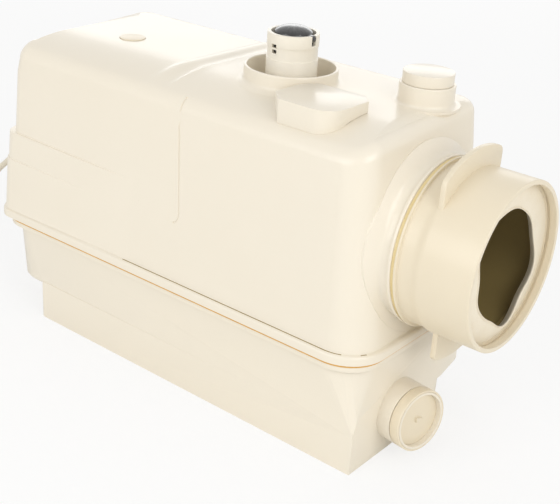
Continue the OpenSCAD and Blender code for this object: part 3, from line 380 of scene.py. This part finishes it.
def cylinder(name, radius, start, end, sides=96):
    """A plain round cutter between two points."""
    a, b = Vector(start) * MM, Vector(end) * MM
    bpy.ops.object.select_all(action="DESELECT")
    bpy.ops.mesh.primitive_cylinder_add(vertices=sides, radius=radius * MM, depth=(b - a).length,
        location=(a + b) / 2, rotation=(b - a).to_track_quat("Z", "Y").to_euler())
    made = bpy.context.object
    made.name = name
    return made


def cut(piece, cutter, operation="DIFFERENCE"):
    """Takes the cutter out of the piece, or joins it to the piece with UNION."""
    modified(piece, "BOOLEAN", object=cutter, operation=operation, solver="EXACT")
    bpy.data.objects.remove(cutter)
    return piece


def prism(name, outline, low, high):
    """An upright prism over an outline of (x, y) points."""
    return between(name, [(x, y, low) for x, y in outline], [(x, y, high) for x, y in outline])


def on_arc(cx, cy, r, start, steps):
    """Points on a quarter circle that starts at an angle in degrees."""
    angles = [math.radians(start + 90 * k / steps) for k in range(steps + 1)]
    return [(cx + r * math.cos(a), cy + r * math.sin(a)) for a in angles]


def share_of(value, low, high):
    """How far a value has come from low to high, between 0 and 1."""
    return min(1.0, max(0.0, (value - low) / (high - low)))


# The mains lead, with the route that the solid model has: down to the floor, two turns in, one layer up, two turns out

CORD_R = 2.75
CORD_POINTS = [(-215, 0, 120), (-221, 0, 120), (-233, -1, 114), (-245, -2, 105), (-257, -3, 94),
    (-269, -5, 83), (-280, -6, 73), (-291, -8, 61), (-300, -10, 49), (-309, -12, 37),
    (-319, -15, 25), (-331, -18, 14), (-344, -20, 7), (-357, -20, 4), (-363, -20, 4)]
COIL_R, COIL_PITCH, COIL_TURN, COIL_CLIMB, COIL_LOW = 37.5, 6.2, 720, 180, 4
COIL_END = COIL_TURN * 2 + COIL_CLIMB
COIL_AT = (CORD_POINTS[-1][0] - 2 * CORD_R, CORD_POINTS[-1][1] - COIL_R)
COIL_INNER = COIL_R - COIL_PITCH * COIL_TURN / 360
COIL_SQUEEZE = 1.5
COIL_STEP = 15
TAIL_OUT, TAIL_TURN = 12, 75
LEAST_GAP = 0.3


def coil_radius(a):
    """The coil's radius after turning by a degrees: inwards, up a layer, then outwards."""
    if a < COIL_TURN:
        return COIL_R - COIL_PITCH * a / 360
    if a < COIL_TURN + COIL_CLIMB:
        return COIL_INNER - COIL_SQUEEZE * math.sin(math.pi * (a - COIL_TURN) / COIL_CLIMB)
    tail = max(0, (a - COIL_END + TAIL_TURN) / TAIL_TURN)
    return COIL_INNER + COIL_PITCH * (a - COIL_TURN - COIL_CLIMB) / 360 + TAIL_OUT * tail ** 2


def coil_point(a):
    r, turn = coil_radius(a), math.radians(a + 90)
    z = COIL_LOW + COIL_PITCH * min(1, max(0, (a - COIL_TURN) / COIL_CLIMB))
    return Vector((COIL_AT[0] + r * math.cos(turn), COIL_AT[1] + r * math.sin(turn), z))


def smooth_run(points, steps=4):
    """Points on a smooth line through the given ones."""
    done = []
    p = [Vector(q) for q in points]
    p = [p[0] * 2 - p[1]] + p + [p[-1] * 2 - p[-2]]
    for a, b, c, d in zip(p, p[1:], p[2:], p[3:]):
        for k in range(steps):
            t = k / steps
            bend = (2 * a - 5 * b + 4 * c - d) * t * t + (3 * b - a - 3 * c + d) * t ** 3
            done.append(0.5 * (2 * b + (c - a) * t + bend))
    return done + [p[-2]]


def mains_lead():
    loops = [coil_point(COIL_STEP * i) for i in range(int(COIL_END / COIL_STEP) + 1)]
    leave = (loops[-1] - loops[-2]).normalized()
    run = smooth_run(CORD_POINTS) + loops + [loops[-1] + leave * 2 * CORD_R]
    run = [p for i, p in enumerate(run) if i == 0 or (p - run[i - 1]).length > LEAST_GAP]
    piece = dress(curve_of("mains_lead", run, CORD_R, 4), "cord", "unit", ["mains_cord", "cord_coil"])
    length = sum((b - a).length for a, b in zip(run, run[1:])) * MM
    plug = refined("mains_plug", 1.6)
    pins = refined("plug_pins", 0.8)
    tie = refined("coil_tie", 0.5)
    run[0] * MM


mains_lead()


# The cover: one lofted shell with its lip, steps and arched top, then the fittings moulded on it

LIP_X, LIP_Y, SEAM, TOP = 186.0, 82.5, 82.0, 234.0
LIP_CORNER, LIP_TOP = 30, 88.8
ARC_START, ARC_DROP, ARC_RUN, TOP_FILLET = -18.0, 12.0, 53.0, 9.0
LEFT_CORNER = 0.62
CORNER_STEPS = 10
# The walls: where they start, how tall they are, how far inside the lip they stand and how much they lean in
WALL_FOOT, WALL_TALL = 92.0, 142.0
LEFT_IN, SIDE_IN = 9.5, 4
LEFT_LEAN, RIGHT_LEAN, FRONT_LEAN, BACK_LEAN = 8.5, 13, 7.5, 4.5
WALL_CORNER, WALL_CORNER_LESS = 26, 6
# The upper step and the thin step under it: where along the cover each has faded out, and how far each stands out
STEP_FADE, STEP_RUN, STEP_EASE, STEP_END, STEP_SIDE = -33.0, 149.0, 0.6, 5.5, 2.0
LINE_FADE, LINE_RUN, LINE_EASE, LINE_OUT = -76.0, 99.0, 0.5, 0.8
STRAIGHT_X = sorted(set(list(range(-140, 141, 10)) + [-85, -83, -81, -35, -33, -31, -28, -26, -24, -22, -18, -16,
    -14, -13, -12, -11, -9, -8, -7]))


def top_drop(y):
    """How far the arched front of the top lies under the flat of it."""
    return ARC_DROP * (max(0.0, ARC_START - y) / ARC_RUN) ** 2


def ring(x0, x1, y0, y1, r, height, shift=(0, 0)):
    """One closed run round the cover: front, right, back, left, with the left end pushed out by the two steps."""
    left = r * LEFT_CORNER
    run = [(x, y0) for x in STRAIGHT_X]
    run += on_arc(x1 - r, y0 + r, r, -90, CORNER_STEPS) + on_arc(x1 - r, y1 - r, r, 0, CORNER_STEPS)
    run += [(x, y1) for x in reversed(STRAIGHT_X)]
    run += on_arc(x0 + left, y1 - left, left, 90, CORNER_STEPS) + on_arc(x0 + left, y0 + left, left, 180, CORNER_STEPS)
    done = []
    for x, y in run:
        step = shift[0] * max(0.0, (STEP_FADE - x) / STEP_RUN) ** STEP_EASE
        line = shift[1] * max(0.0, (LINE_FADE - x) / LINE_RUN) ** LINE_EASE
        side = 1 if y > 0 else -1
        y += side * (step * STEP_SIDE + line * LINE_OUT)
        done.append((x - step * STEP_END - line * LINE_OUT, y, height(y) if callable(height) else height))
    return done


def wall_ring(z, shift, out=0.0):
    """A ring of the drafted walls at a height."""
    t = (z - WALL_FOOT) / WALL_TALL
    return ring(-LIP_X + LEFT_IN + LEFT_LEAN * t - out, LIP_X - SIDE_IN - RIGHT_LEAN * t + out,
        -LIP_Y + SIDE_IN + FRONT_LEAN * t - out, LIP_Y - SIDE_IN - BACK_LEAN * t + out,
        WALL_CORNER - WALL_CORNER_LESS * t + out, z, shift)


# Each soft ridge beside the discharge dish: how much the top rises or falls between two places along the cover
RIDGES = ((0.9, -31, -26), (-1.5, -24, -14), (0.9, -12, -9), (-0.3, -8, -6))


def ridge_height(x):
    """Two soft ridges that cross the top left of the discharge dish, with a ramp between them."""
    rise = 0.0
    for height, start, end in RIDGES:
        t = share_of(x, start, end)
        rise += height * (t * t * (3 - 2 * t))
    return rise


# Rings of the lip as (inset, height), and of the walls as (height, (step, line), how far out)
LIP_RINGS = ((0, SEAM), (0, LIP_TOP - 2.4), (0.3, LIP_TOP - 1.2), (1.0, LIP_TOP - 0.4), (2.0, LIP_TOP))
WALL_RINGS = ((LIP_TOP + 0.1, (1, 1), 0.9), (LIP_TOP + 0.6, (1, 1), 0.3), (LIP_TOP + 1.6, (1, 1), 0), (105, (1, 1), 0),
    (118, (1, 1), 0), (131.6, (1, 1), 0), (132.3, (1, 0.8), 0), (132.6, (1, 0), 0), (134, (1, 0), 0), (145, (1, 0), 0),
    (153.6, (1, 0), 0), (154.5, (0.96, 0), 0), (155.0, (0.85, 0), 0), (155.3, (0.04, 0), 0), (155.9, (0, 0), 0),
    (165, (0, 0), 0), (185, (0, 0), 0), (205, (0, 0), 0))
# The top's outline, its corner, and the rings on its fillet and on its flat
TOP_LEFT, TOP_RIGHT, TOP_FRONT, TOP_BACK, TOP_CORNER = -168.0, 169.0, -71.0, 74.0, 20
FILLET_RINGS, FLAT_RINGS, FIRST_RIDGED = 8, 10, 25
# The step lines lie lower towards the right: by how much, round which height, and over which run
SAG, SAG_AT, SAG_REACH, SAG_START, SAG_RUN, SAG_END, SAG_FADE = 2.6, 145, 50, -182, 149, 190, 60
WALL = 3


def cover_rings():
    """The cover's rings from the seam up to the last one on its flat top."""
    rings = [ring(-LIP_X + inset, LIP_X - inset, -LIP_Y + inset, LIP_Y - inset, LIP_CORNER - inset, z)
        for inset, z in LIP_RINGS]
    rings += [wall_ring(*row) for row in WALL_RINGS]
    for k in range(FILLET_RINGS + 1):
        a = math.radians(90 * k / FILLET_RINGS)
        e, low = TOP_FILLET * (1 - math.cos(a)), TOP_FILLET * (1 - math.sin(a))
        rings.append(ring(TOP_LEFT + e, TOP_RIGHT - e, TOP_FRONT + e, TOP_BACK - e, TOP_CORNER - e,
            lambda y, low=low: TOP - top_drop(y) - low))
    for k in range(1, FLAT_RINGS + 1):
        e = TOP_FILLET + 1.0 * k
        y0 = (TOP_FRONT + TOP_FILLET) * (1 - k / FLAT_RINGS) + (ARC_START + 8) * k / FLAT_RINGS
        rings.append(ring(TOP_LEFT + e, TOP_RIGHT - e, y0, TOP_BACK - e - k, max(1.0, TOP_CORNER - e),
            lambda y: TOP - top_drop(y)))
    return rings


def cover_shell():
    """The cover's skin over its rings, closed on top with a strip of quads, and given its wall."""
    rings = cover_rings()
    count = len(rings[0])
    points = []
    for level, run in enumerate(rings):
        for x, y, z in run:
            along = min(1.0, max(0.0, (x - SAG_START) / SAG_RUN)) * min(1.0, max(0.0, 1 - abs(z - SAG_AT) / SAG_REACH))
            z -= SAG * along * min(1, (SAG_END - x) / SAG_FADE)
            lift = 0
            if level >= FIRST_RIDGED and -40 < x < 0:
                lift = ridge_height(x) * share_of(y, -66, -36)
            points.append((x, y, z + lift))
    faces = []
    for k in range(len(rings) - 1):
        for i in range(count):
            j = (i + 1) % count
            faces.append([k * count + i, k * count + j, (k + 1) * count + j, (k + 1) * count + i])
    last = (len(rings) - 1) * count
    n = len(STRAIGHT_X)
    back = n + 2 * (CORNER_STEPS + 1)
    for i in range(n - 1):
        faces.append([last + i, last + i + 1, last + back + n - 2 - i, last + back + n - 1 - i])
    faces.append([last + k for k in range(n - 1, back + 1)])
    faces.append([last + k for k in range(back + n - 1, count)] + [last])
    piece = clean_edit(mesh_of("cover_shell", points, faces))
    return modified(piece, "SOLIDIFY", thickness=WALL * MM, offset=-1, use_even_offset=False)


GROOVE_X, GROOVE_FOOT, GROOVE_CURL, GROOVE_LEAN, GROOVE_R = 18, 141, 8, 0.07, 0.75
GROOVE_TOP_X, GROOVE_LEVELS = 12.5, (150, 170, 190, 205, 213)


def groove_cutter():
    """The thin line down the front, with its curl to the left at the foot."""
    def front(z):
        return -LIP_Y + SIDE_IN + FRONT_LEAN * (z - WALL_FOOT) / WALL_TALL
    curl = [math.radians(a) for a in range(75, -1, -15)]
    run = [(GROOVE_X - GROOVE_CURL + GROOVE_CURL * math.cos(a), GROOVE_FOOT - GROOVE_CURL * math.sin(a)) for a in curl]
    run = [(x - GROOVE_LEAN * (z - GROOVE_FOOT), z) for x, z in run + [(GROOVE_X, z) for z in GROOVE_LEVELS]]
    path = [(x, front(z), z) for x, z in run]
    for a in range(15, 76, 15):
        turn = math.radians(a)
        y = TOP_FRONT + TOP_FILLET * (1 - math.cos(turn))
        path.append((GROOVE_TOP_X, y, TOP - top_drop(y) - TOP_FILLET * (1 - math.sin(turn))))
    only(curve_of("front_groove", path, GROOVE_R, 2))
    bpy.ops.object.convert(target="MESH")
    return clean_edit(bpy.context.object)


# What is moulded on the cover: places seen from above, then profiles of (radius, height, rounding)

DISH_AT, NECK_AT, PUMP_AT, INLET_Z = (52.0, 0.0), (145.0, 32.0), (-101.0, -7.0), 153.5
LID = (79.0, 133.5, -62.5, -12.5)
LID_LEFT_CUT, LID_RIGHT_CUT, LID_CORNER, LID_SHARE = 12, 8, 15, 0.6
TRAY_GAP, TRAY_HOLE = 0.2, 2.2
DISH_WALL, DISH_FOOT, NECK_WALL, NECK_FOOT = 33.8, 39.8, 19.5, 24.0
DISH_PROFILE = ((18.7, 213, 0), (18.7, 216, 0.4), (31.6, 216, 1.2), (31.6, 245, 0.9), (DISH_WALL, 245, 0.9),
    (DISH_WALL, 234.2, 4.5), (DISH_FOOT, 233.9, 0), (DISH_FOOT, 232.6, 0), (DISH_WALL, 231, 0), (DISH_WALL, 213, 0))
NECK_PROFILE = ((17.1, 228, 0), (17.1, 248, 0.7), (NECK_WALL, 248, 0.9), (NECK_WALL, 234.3, 4.0),
    (NECK_FOOT, 233.9, 0), (NECK_FOOT, 232.0, 0), (NECK_WALL, 228, 0))
BOSS_R, BOSS_FLARE = 58.6, 67.5
BOSS_PROFILE = ((55.1, 160, 0), (55.1, 187.5, 0.5), (60.0, 187.5, 0.6), (60.0, 185.2, 0.9), (58.0, 184.6, 1.6),
    (BOSS_R, 178.4, 6.0), (BOSS_FLARE, 176.7, 0), (BOSS_FLARE, 174.5, 0), (60.0, 160, 0))
# The end wall behind the boss rounds off from here towards both sides
END_FLAT, END_ROUND, END_REACH = 53, 24, 23


def lid_outline(g, steps=8):
    """The filter lid's outline seen from above, smaller by a gap: three cut corners and a round one."""
    x0, x1, y0, y1 = LID[0] + g, LID[1] - g, LID[2] + g, LID[3] - g
    c, b, r = LID_LEFT_CUT - LID_SHARE * g, LID_RIGHT_CUT - LID_SHARE * g, LID_CORNER - g
    run = [(x0, y1 - c), (x0, y0 + c), (x0 + c, y0)] + on_arc(x1 - r, y0 + r, r, -90, steps)
    return run + [(x1, y1 - b), (x1 - b, y1), (x0 + b, y1)]


def fitting(name, profile, at, wall, foot):
    """A round fitting on the cover's top, whose foot follows the arched top down."""
    piece = turned(name, profile, (*at, 0))
    for vertex in piece.data.vertices:
        x, y, z = vertex.co / MM
        vertex.co.z -= top_drop(y) * share_of(math.hypot(x - at[0], y - at[1]), wall, foot) * MM
    dress(piece, "shell")


def inlet_boss():
    """The ring behind the twist collar, flared onto the leaning and rounded end wall."""
    boss = turned("inlet_boss", BOSS_PROFILE, (0, 0, INLET_Z), "X", 144)
    for vertex in boss.data.vertices:
        x, y, z = vertex.co / MM
        away = share_of(math.hypot(y, z - INLET_Z), BOSS_R, BOSS_FLARE)
        out = min(max(0.0, abs(y) - END_FLAT), END_REACH)
        round_off = END_ROUND - math.sqrt(max(0.0, END_ROUND ** 2 - out ** 2))
        vertex.co.x -= (RIGHT_LEAN / WALL_TALL * (z - INLET_Z) + round_off) * away * MM
    dress(boss, "shell")


def cover():
    shell = cover_shell()
    for cutter in (
        groove_cutter(),
        cylinder("dish_cut", 32.4, (*DISH_AT, 205), (*DISH_AT, 260)),
        cylinder("neck_cut", 17.1, (*NECK_AT, 205), (*NECK_AT, 260)),
        cylinder("boss_cut", 55.1, (150, 0, INLET_Z), (200, 0, INLET_Z), 128),
        cylinder("service_cut", 10.3, (*PUMP_AT, 232.8), (*PUMP_AT, 240)),
        cylinder("service_stem_cut", 7.7, (*PUMP_AT, 220), (*PUMP_AT, 240)),
        prism("tray_cut", lid_outline(TRAY_HOLE), 205, 250),
    ):
        cut(shell, cutter)
    dress(shell, "shell", "unit", ["cover"])
    # The cover's inner faces get painted shade: the dark inside finish
    shade_inside(shell, lambda c, n: n.dot(Vector((c.x * 0.35, c.y, c.z - 120))) < -20 and c.x < 181)
    fitting("discharge_dish", DISH_PROFILE, DISH_AT, DISH_WALL, DISH_FOOT)
    fitting("top_inlet_neck", NECK_PROFILE, NECK_AT, NECK_WALL, NECK_FOOT)
    inlet_boss()
    tray = prism("filter_tray", lid_outline(TRAY_GAP), 212, 231)
    dress(cut(tray, prism("tray_hollow", lid_outline(TRAY_HOLE), 214, 240)), "shell")


cover()


# The twist collar: a stepped drum with two rounded grip lugs

COLLAR_PROFILE = ((52.2, 171.5, 0.4), (54.8, 171.5, 0.6), (54.8, 189.9, 0), (60.0, 189.9, 0.5), (60.0, 191.5, 0.5),
    (57.6, 191.6, 0.6), (57.6, 202.0, 2.5), (59.0, 206.5, 2.5), (59.0, 244.9, 0.8), (55.7, 244.9, 0.6),
    (55.7, 239.9, 0.2), (57.2, 239.9, 0), (57.2, 237.7, 0), (54.3, 237.7, 0), (54.3, 235.3, 0), (51.7, 235.3, 0.3),
    (51.7, 232.3, 0.3), (54.3, 232.3, 0), (54.3, 191.5, 0), (52.2, 191.5, 0))
# Each lug: from where to where across the collar, how far out, and whether above or below
LUGS = {"top_lug": (-42, 28, 73, 1), "low_lug": (-26, 22, 78, -1)}
LUG_X, LUG_ROOT, LUG_ROUND, LUG_EDGE, LUG_STEPS = (205.9, 209.9), 57, 5, 0.6, 14


def grip_lug(name, y0, y1, reach, side):
    """A flat plate across the drum, with an arc on its outer edge and rounded ends."""
    def at(y, r, soft=0):
        return (y, INLET_Z + side * math.sqrt(r * r - y * y), soft)
    ys = [y0 + (y1 - y0) * k / LUG_STEPS for k in range(LUG_STEPS + 1)]
    outer = [at(y0, reach, LUG_ROUND)] + [at(y, reach) for y in ys[2:-2]] + [at(y1, reach, LUG_ROUND)]
    outline = softened([at(y0, LUG_ROOT)] + outer + [at(y, LUG_ROOT) for y in reversed(ys[1:])])
    plate = between(name, *([(x, p.x, p.y) for p in outline] for x in LUG_X))
    return modified(plate, "BEVEL", width=LUG_EDGE * MM, segments=2, limit_method="ANGLE",
        angle_limit=math.radians(40))


def twist_collar():
    drum = turned("twist_collar", COLLAR_PROFILE, (0, 0, INLET_Z), "X", 160)
    for name, lug in LUGS.items():
        cut(drum, grip_lug(name, *lug), "UNION")
    dress(drum, slot_of["inlet_collar"], "collar", ["inlet_collar"], 35.0)
    # The collar's bore gets painted shade: the dark inside finish
    shade_inside(drum, lambda c, n: math.hypot(c.y, c.z - INLET_Z) < 55 and c.x < 235)


twist_collar()


# CAD nodes whose shape is right: copies with rounded edges, by the bevel's width and the body they ride on

tank = refined("tank", 1.0)
for node, edge, body in (("stub_ring", 0.6, "unit"), ("stub_plug", 0.4, "side_plug"), ("discharge_tube", 0.45, "unit"),
        ("valve_flap", 0.9, "flap"), ("valve_body", 0.4, "unit"), ("top_cap", 0.8, "cap"), ("filter_lid", 0.9, "lid"),
        ("service_plug", 0.4, "service"), ("cable_gland", 0.5, "unit"), ("cover_gasket", 0.2, "unit")):
    refined(node, edge, body)
# The tank's inner faces get painted shade: the dark inside finish
shade_inside(tank, lambda c, n: -178 < c.x < 180 and abs(c.y) < 73 and c.z > 2.5
    and n.dot(c - Vector((0, 0, 50))) < 0)


# The lip seal, with its pear-shaped mouth and thin double lip. The mouth is a circle (across, up, radius) with lobes:
# for each number of waves round it, their cosine and sine shares. The profile goes from the disc's back over its rim
# to the mouth and back: rows on a circle, and rows that keep a distance from the mouth.

MOUTH = (0.0, INLET_Z - 2.5, 39.93)
MOUTH_LOBES = {1: (-0.062, 0.04), 2: (-0.05, -0.125), 3: (0.02, 0.019), 4: (0.0, 0.006),
    5: (0.037, -0.032), 6: (-0.015, -0.013), 7: (-0.006, -0.014), 8: (-0.003, 0.010)}
DISC_ROWS = ((54.25, 235.35), (54.25, 237.5), (53.9, 237.7))
MOUTH_ROWS = ((3.2, 239.2), (1.7, 239.5), (1.5, 239.9), (1.3, 240.0), (1.1, 239.9), (0.95, 239.4), (0.75, 239.4),
    (0.55, 239.8), (0.35, 240.0), (0.1, 239.9), (0.05, 239.5), (0.7, 238.4), (1.8, 237.0), (3.0, 235.35))
# Where the mouth comes near the disc's rim, its rows close up under this radius
DISC_EDGE, ROW_CLOSE, WIDEST_ROW = 53.4, 0.2, 3.5
SEAL_STEPS = 180


def mouth_radius(turn):
    waves = sum(c * math.cos(k * turn) + s * math.sin(k * turn) for k, (c, s) in MOUTH_LOBES.items())
    return MOUTH[2] * (1 + waves)


def lip_seal():
    turns = [2 * math.pi * i / SEAL_STEPS for i in range(SEAL_STEPS)]
    points = [(x, size * math.cos(turn), INLET_Z + size * math.sin(turn)) for size, x in DISC_ROWS for turn in turns]
    for size, x in MOUTH_ROWS:
        for turn in turns:
            r = mouth_radius(turn) + size
            y, z = MOUTH[0] + r * math.cos(turn), MOUTH[1] + r * math.sin(turn) - INLET_Z
            inwards = min(1.0, (DISC_EDGE - ROW_CLOSE * (WIDEST_ROW - size)) / math.hypot(y, z))
            points.append((x, y * inwards, INLET_Z + z * inwards))
    faces = []
    rows = len(DISC_ROWS) + len(MOUTH_ROWS)
    for k in range(rows):
        here, there = k * SEAL_STEPS, (k + 1) % rows * SEAL_STEPS
        for i in range(SEAL_STEPS):
            j = (i + 1) % SEAL_STEPS
            faces.append([here + i, here + j, there + j, there + i])
    dress(clean_edit(mesh_of("shaped_lip_seal", points, faces)), "lip", "collar", ["lip_seal"], 50.0)


lip_seal()


# Every CAD node that still shows gets its finish

for node, thing in frame["nodes"].items():
    if not thing.hide_render:
        thing.data.materials.clear()
        thing.data.materials.append(finishes["gap" if node == "collar_seal" else slot_of[node]])


# Floor, backdrop and light

FLOOR_SIZE, FLOOR_GLOW, SKY_LIGHT = 12, 0.72, 0.68


def white_floor():
    """A pale floor that looks white to the camera and still shows the object's shadow."""
    bpy.ops.object.select_all(action="DESELECT")
    bpy.ops.mesh.primitive_plane_add(size=FLOOR_SIZE, location=(0, 0, 0))
    floor = bpy.context.object
    floor.name = "pale_floor"
    made = Finish("pale_floor")
    made.set(Base_Color=(0.92, 0.92, 0.91, 1), Roughness=0.9)
    glow = made.node("ShaderNodeEmission", None, {"Color": (1, 1, 1, 1), "Strength": 1.0})
    seen = made.node("ShaderNodeLightPath")
    blend = made.tree.nodes.new("ShaderNodeMixShader")
    made.feed(blend.inputs[0], seen * FLOOR_GLOW)
    made.tree.links.new(made.shader.outputs[0], blend.inputs[1])
    made.tree.links.new(glow.socket, blend.inputs[2])
    made.tree.links.new(blend.outputs[0], made.tree.nodes["Material Output"].inputs[0])
    floor.data.materials.append(made.material)


def sky():
    """A world that is white to the camera, gloss and glass, and a little less bright as a light."""
    world = bpy.data.worlds.new("white_room")
    scene.world = world
    world.use_nodes = True
    tree = world.node_tree
    ground = tree.nodes["Background"]
    ground.inputs["Color"].default_value = (1, 1, 1, 1)
    path = tree.nodes.new("ShaderNodeLightPath")
    direct = tree.nodes.new("ShaderNodeMath")
    direct.operation = "MAXIMUM"
    tree.links.new(path.outputs["Is Camera Ray"], direct.inputs[0])
    tree.links.new(path.outputs["Is Glossy Ray"], direct.inputs[1])
    more = tree.nodes.new("ShaderNodeMath")
    more.operation = "MAXIMUM"
    tree.links.new(direct.outputs[0], more.inputs[0])
    tree.links.new(path.outputs["Is Transmission Ray"], more.inputs[1])
    level = tree.nodes.new("ShaderNodeMapRange")
    level.inputs["To Min"].default_value = SKY_LIGHT
    level.inputs["To Max"].default_value = 1.0
    tree.links.new(more.outputs[0], level.inputs["Value"])
    tree.links.new(level.outputs[0], ground.inputs["Strength"])


def lamp(name, place, target, size, power):
    """A softbox at a place in metres, turned to its target."""
    data = bpy.data.lights.new(name, "AREA")
    data.shape = "RECTANGLE"
    data.size, data.size_y = size
    data.energy = power
    made = bpy.data.objects.new(name, data)
    scene.collection.objects.link(made)
    made.location = place
    made.rotation_euler = (Vector(target) - Vector(place)).to_track_quat("-Z", "Y").to_euler()


white_floor()
sky()
lamp("right_softbox", (1.5, -0.5, 0.9), (0.05, 0, 0.12), (1.0, 1.0), 8.5)
lamp("front_softbox", (-0.3, -1.8, 0.9), (0, 0, 0.12), (1.4, 1.0), 10)
lamp("back_softbox", (-1.3, 1.8, 0.85), (0, 0, 0.2), (2.4, 0.7), 7)
lamp("top_softbox", (0.0, 0.4, 1.8), (0, 0, 0.1), (1.4, 1.0), 0.8)

bpy.context.view_layer.update()
